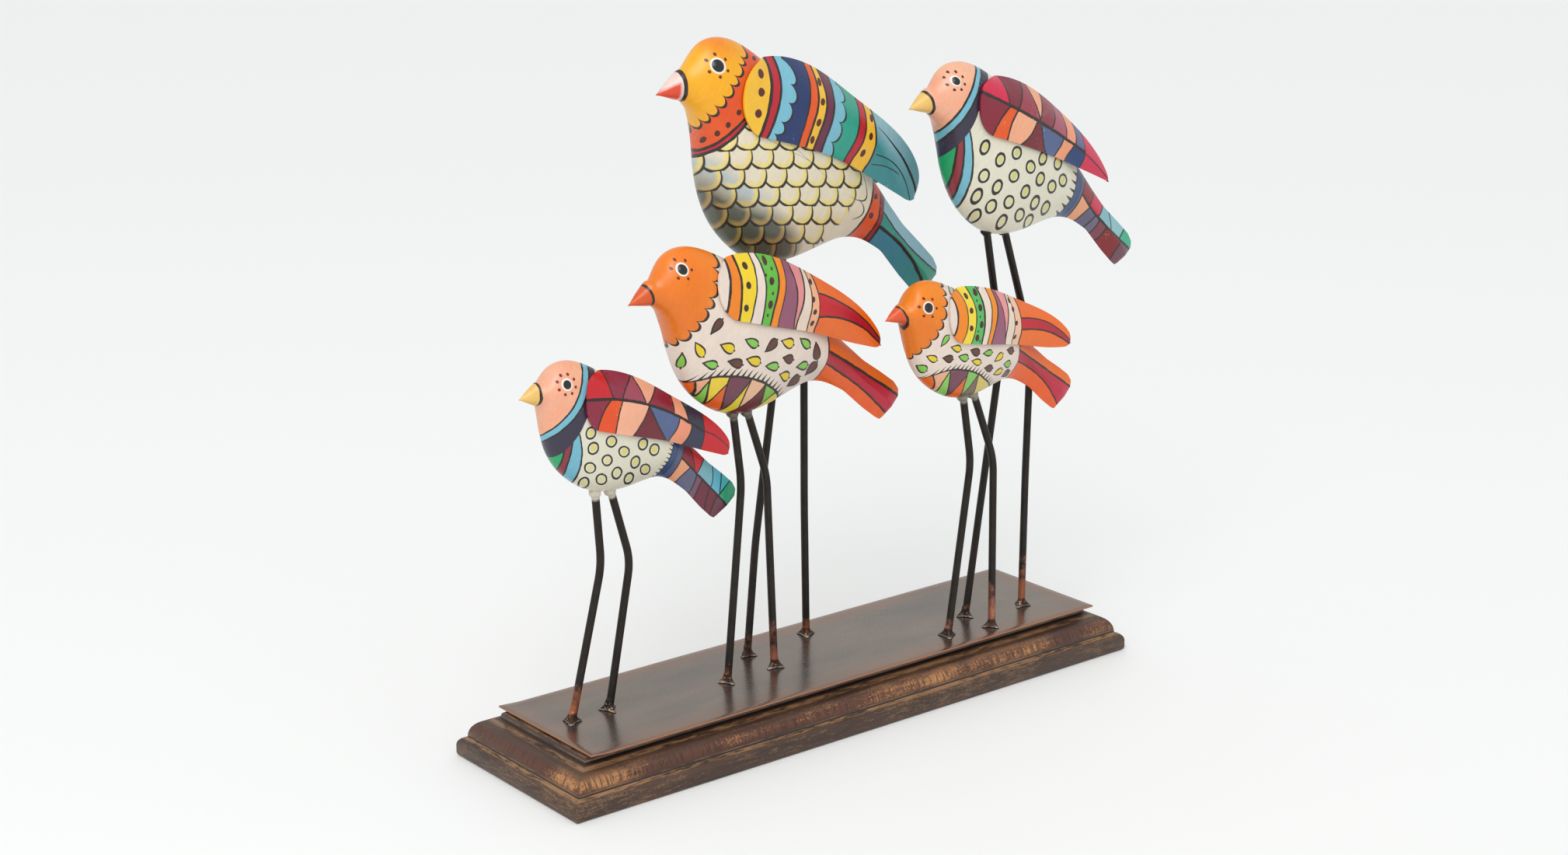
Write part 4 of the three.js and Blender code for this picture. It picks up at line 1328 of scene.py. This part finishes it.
# The stripes of the striped wings: top, middle and foot of the front edge, paint, line
STRIPE_DATA = {
    "middle_bird": [
        ((22.8, 20.5), (24.3, 14), (24.9, 6.5), (236, 128, 30), 0.24),
        ((25.5, 23), (28.2, 15), (29.4, 6), (236, 204, 62), 0.2),
        ((30.6, 25), (33, 17), (33.4, 8), (228, 211, 200), 0.13),
        ((32.8, 25.3), (35.9, 18.3), (37.4, 8), (98, 178, 66), 0.15),
        ((39, 26.4), (40.3, 19), (40.6, 9), (238, 134, 30), 0.17),
        ((42.2, 26.5), (43, 18.5), (43.5, 9), (142, 84, 106), 0.1),
        ((44.8, 26.5), (47.4, 19), (50, 10), (224, 142, 142), 0.14),
        ((49.5, 26), (50.2, 19), (50.8, 10), (230, 210, 192), 0.17),
        ((51.3, 26), (53.6, 18.7), (55.5, 10.5), (238, 174, 136), 0.13),
        ((54.2, 25.5), (56.5, 19.3), (58.7, 11), (234, 108, 40), 0.15)],
    "right_bird": [
        ((20.5, 17.5), (25, 11.5), (25.5, 3.5), (238, 134, 30), 0.24),
        ((24, 21.5), (29.3, 15), (30.7, 4.5), (238, 210, 74), 0.13),
        ((28.8, 24.2), (33.8, 16), (34.8, 5), (88, 178, 92), 0.15),
        ((34.5, 25), (38.6, 16), (40, 6), (230, 212, 198), 0.24),
        ((39.3, 26), (42.5, 16), (43.2, 6), (238, 140, 34), 0.15),
        ((43, 26), (45.3, 17), (45.5, 6.5), (146, 88, 110), 0.17),
        ((44.7, 26), (48.8, 17.8), (54.2, 8.5), (226, 148, 150), 0.12),
        ((50, 26), (51.2, 18), (53.9, 8), (230, 210, 192), 0.17),
        ((51.7, 26), (55.2, 17.5), (58.5, 8), (236, 190, 160), 0.12),
        ((55.5, 26.2), (58.9, 18.3), (62.8, 9), (236, 110, 42), 0.17)],
}
# The dots laid on after a stripe, counted from 1: their centres and their size
STRIPE_DOTS = {
    "middle_bird": {2: ([(29.0, 21.0), (30.2, 16.2), (30.9, 10.3)], (0.85, 0.95)),
                    4: ([(35.7, 24.4), (37.7, 19.7), (39.0, 13.5)], (0.85, 1.15)),
                    9: ([(53.0, 23.6), (54.0, 19.2), (55.7, 16.1), (56.5, 13.0)], (0.65, 0.8)),
                    10: ([(37.7, 23.0), (35.6, 20.7), (38.8, 16.6), (38.9, 10.6)], (0.36, 0.45))},
    "right_bird": {2: ([(29.2, 19.5), (31.5, 15.0), (32.8, 8.9)], (1.0, 1.1)),
                   3: ([(33.9, 22.3), (36.0, 17.4), (37.7, 11.7), (36.9, 6.5)], (1.05, 1.3)),
                   9: ([(51.9, 24.4), (53.5, 21.8), (56.1, 17.4), (58.1, 12.5)], (0.75, 0.95)),
                   10: ([(34.4, 19.5), (36.3, 14.2), (36.6, 8.9), (38.6, 5.8), (36.0, 24.4)],
                        (0.36, 0.45))},
}
# The upper and lower line of the red on each wing tip
STRIPE_TIPS = {"middle_bird": (((55, 21.4), (69, 21.0), (83, 16.4)),
                               ((55, 14.2), (69, 17.4), (85, 14.4))),
               "right_bird": (((56, 19.0), (71, 22.5), (88.4, 19.8)),
                              ((57, 14.6), (71, 18.8), (89, 18.4)))}


def paint_striped_wing(name):
    p = BirdPaint(name + "_striped_wing_paint", tint(230, 212, 200))
    for index, (*points, fill, half) in enumerate(STRIPE_DATA[name], 1):
        tip = p.border(*points)
        p.area(tip, tint(*fill), half)
        if index in STRIPE_DOTS[name]:
            p.spots(*STRIPE_DOTS[name][index], tint(64, 34, 24))
    on_tip = tip.over(0.3)
    top, low = (p.border(*line) for line in STRIPE_TIPS[name])
    red = p.mixed((p.u - 66).over(30), tint(202, 44, 50), tint(166, 30, 50))
    p.glaze((-top).least(low).over(0.2) * on_tip, red)
    p.stroke(top, 0.13, on_tip)
    p.stroke(low, 0.16, on_tip)
    return p.varnished()


# Finishes
def wood_finish():
    """Dark stained wood with its grain along each side; the large round is worn to
    orange and scored across by the moulding cutter."""
    c = Finish("plinth_wood")
    x, y, z = c.split(c.place)
    past_end = abs(x) - PLINTH_LENGTH / 2 * MM
    past_side = abs(y) - PLINTH_WIDTH / 2 * MM
    on_end = (past_end - past_side).over(0.0003)
    along = x + (y - x) * on_end
    across = y + (x - y) * on_end
    height = z * (1 / MM)
    grain = c.noise(c.combined(along * 0.07, across, z), 270, 5.0, 0.62)
    fibre = c.noise(c.combined(along * 0.14, across, z), 900, 3.0, 0.6)
    chatter = c.noise(c.combined(along, across * 0.1, z * 0.1), 560, 2.0, 0.6)
    cloud = c.noise(c.place, 24, 2.0)
    speck = c.noise(c.place, 900, 2.0, 0.6)
    c.colour = c.mixed(grain.scaled(1.9, -0.45, True), tint(40, 26, 21), tint(80, 57, 44))
    lower = (10.0 - height).over(0.5)
    streaks = (fibre * 0.7 + speck * 0.5 + cloud * 0.6 - 1.0).over(0.2)
    c.glaze(lower * streaks * 0.5, tint(140, 106, 74))
    over_round = (height - 12.9).over(2.4) * (18.2 - height).over(3.6)
    c.glaze(over_round * 0.6, tint(96, 50, 28))
    rubbed = cloud * 1.2 + grain * 0.6 + speck * 0.7 + chatter * 0.3 - 1.5 - on_end * 0.08
    c.glaze(rubbed.over(0.25) * over_round * 0.85, tint(186, 130, 80))
    scored = (chatter - 0.52).over(0.09) * (cloud - on_end * 0.4).over(0.4)
    c.glaze(scored * over_round * 0.75, tint(58, 28, 17))
    pale = (fibre + cloud * 0.6 - 0.78).over(0.2)
    for level, half, strength in ((10.2, 0.5, 0.6), (11.9, 0.3, 0.3), (20.6, 0.5, 0.45),
                                  (22.8, 0.4, 0.4), (25.0, 0.5, 0.4)):
        arris = (half - abs(height - level)).over(0.4) * pale
        c.glaze(arris * strength, tint(184, 138, 96))
    # Dark lines along the two small steps of the moulding are painted shade in these recesses.
    for level, half in ((11.0, 0.35), (22.1, 0.5)):
        c.glaze((half - abs(height - level)).over(0.4) * 0.8, tint(26, 18, 14))
    relief = c.relief(grain * 0.5 + fibre * 0.35 - scored * over_round * 0.5, 0.35, 0.0008)
    rough = 0.36 + 0.2 * grain + 0.1 * speck
    return c.dress(Roughness=rough, Normal=relief, Coat_Weight=0.12, Coat_Roughness=0.3)


def plate_finish():
    """Brown-grey polished metal, cloudy and finely speckled, copper along its edges."""
    c = Finish("plate_metal")
    x, y, z = c.split(c.place)
    inside_x = PLATE_LENGTH / 2 - abs(x * (1 / MM) - PLATE_SHIFT[0])
    inside_y = PLATE_WIDTH / 2 - abs(y * (1 / MM) - PLATE_SHIFT[1])
    inside = inside_x.least(inside_y)
    cloud = c.noise(c.combined(x * 0.35, y, z), 34, 4.0, 0.6)
    fine = c.noise(c.place, 1300, 2.0, 0.6)
    c.colour = c.mixed(cloud.scaled(2.2, -0.6, True), tint(114, 107, 101), tint(144, 127, 116))
    warm = (9.0 - inside + (cloud - 0.5) * 14).over(12.0)
    c.glaze(warm * 0.4, tint(150, 108, 88))
    edge = (0.45 - inside + (cloud - 0.5) * 2.4).over(0.5)
    c.glaze(edge * 0.6, tint(184, 124, 92))
    speck = (fine - 0.63).over(0.06)
    c.glaze(speck * 0.3, tint(168, 140, 118))
    relief = c.relief(cloud * 0.4 + fine * 0.12, 0.12, 0.001)
    rough = 0.17 + 0.12 * cloud + 0.16 * speck
    return c.dress(Roughness=rough, Normal=relief, Metallic=0.9)


def wire_finish():
    """Blackened wire, coppery where its welds heated it; bright specks in the welds."""
    c = Finish("leg_wire")
    marks = c.node("Attribute", {"attribute_name": "weld_heat"}).outputs["Vector"]
    heat, pink, belly = c.split(marks)
    height = c.split(c.place)[2].scaled(1 / MM, -FOOT_LEVEL)
    patch = c.noise(c.place, 130, 3.0, 0.6)
    fine = c.noise(c.place, 900, 2.0, 0.6)
    c.colour = c.mixed(patch, tint(36, 34, 33), tint(60, 55, 51))
    copper = c.mixed(pink, tint(160, 94, 60), tint(176, 116, 98))
    shown = (heat * 1.1 + patch * 1.5 + fine * 0.5 - 1.55).over(0.5)
    c.glaze(shown * heat.over(0.1), copper)
    weld = (4.6 - height).over(1.2)
    c.glaze(weld * (1.4 - patch).least(0.9), tint(44, 38, 36))
    c.glaze(weld * (fine + patch * 0.4 - 0.88).over(0.08), tint(220, 190, 150))
    rim = (0.6 - abs(height - 0.2)).over(0.3) * (patch - 0.4).over(0.2)
    c.glaze(rim * 0.35, tint(190, 186, 180))
    c.glaze(belly, tint(216, 208, 190))
    relief = c.relief(fine * 0.4 + patch * 0.5 * weld, 0.25, 0.0006)
    rough = 0.36 + 0.16 * fine + 0.2 * belly
    return c.dress(Roughness=rough, Normal=relief, Metallic=0.75 - 0.7 * belly)


WOOD = wood_finish()
PLATE_METAL = plate_finish()
WIRE = wire_finish()
PAINTERS = {"ringed": (paint_ringed_body, paint_patchwork_wing, "patchwork_wing_paint"),
            "leafy": (paint_leafy_body, paint_striped_wing, "striped_wing_paint"),
            "scaled": (paint_scaled_body, paint_banded_wing, "banded_wing_paint")}

# Building
plinth = make_plinth()
plinth.data.materials.append(WOOD)
finish_piece(plinth, "plinth_wood", "plinth")

plate = make_plate()
plate.data.materials.append(PLATE_METAL)
finish_piece(plate, "plate_metal", "plate")

for seed, (name, bird) in enumerate(FLOCK.items()):
    family = bird["family"]
    paint_body, paint_wing, wing_slot = PAINTERS[family]
    body = make_body(name, bird)
    back = placement(bird).inverted()
    pattern = [back @ vertex.co for vertex in body.data.vertices]
    face = [(*((point - eye_of(bird, point.z)).xy / bird["eye_size"]), point.z)
            for point in pattern]
    write_vectors(body, "pattern", pattern)
    write_vectors(body, "face", face)
    body.data.materials.append(paint_body(name))
    finish_piece(body, family + "_body_paint", name + "_body")
    flank = flank_reader(body, bird)
    wing_finish = paint_wing(name)
    for side, label in ((1, "near"), (-1, "far")):
        sheet = make_wing(name, bird, flank, side)
        sheet.data.materials.append(wing_finish)
        finish_piece(sheet, wing_slot, f"{name}_{label}_wing")
    for label in ("front", "rear"):
        leg = make_leg(f"{name}_{label}_wire_leg", bird, label, seed * 2 + len(label))
        leg.data.materials.append(WIRE)
        finish_piece(leg, "leg_wire", f"{name}_{label}_leg")

# Studio
bpy.ops.mesh.primitive_plane_add(size=12, location=(0, 0, 0))
floor = named("studio_floor")
white = Finish("studio_floor_white")
white.colour = (0.865, 0.86, 0.855)
floor.data.materials.append(white.dress(Roughness=0.6))

world = bpy.data.worlds.new("studio_air")
bpy.context.scene.world = world
world.use_nodes = True
world.node_tree.nodes["Background"].inputs["Color"].default_value = (0.95, 0.98, 0.975, 1)
world.node_tree.nodes["Background"].inputs["Strength"].default_value = 0.8


def soft_light(name, kind, place, target, power, **settings):
    data = bpy.data.lights.new(name, kind)
    data.energy = power
    for key, value in settings.items():
        setattr(data, key, value)
    light = placed(name, data)
    light.location = place
    light.rotation_euler = (Vector(target) - Vector(place)).to_track_quat("-Z", "Y").to_euler()


soft_light("window_light", "SUN", (-1.6, -1.4, 2.6), (0, 0, 0.1), 1.0, angle=radians(50))
soft_light("key_light", "AREA", (-1.1, -0.9, 1.7), (0, 0, 0.15), 8, shape="DISK", size=1.1)

camera_data = bpy.data.cameras.new("photo_camera")
camera = placed("photo_camera", camera_data)
camera.location = (-0.8331, -1.0208, 0.5327)
camera.rotation_euler = (radians(90 - 16.01), radians(0.08), radians(-38.69))
camera_data.lens = 59.34
camera_data.sensor_width = 36
camera_data.clip_start = 0.05
bpy.context.scene.camera = camera
bpy.context.scene.view_settings.view_transform = "Standard"
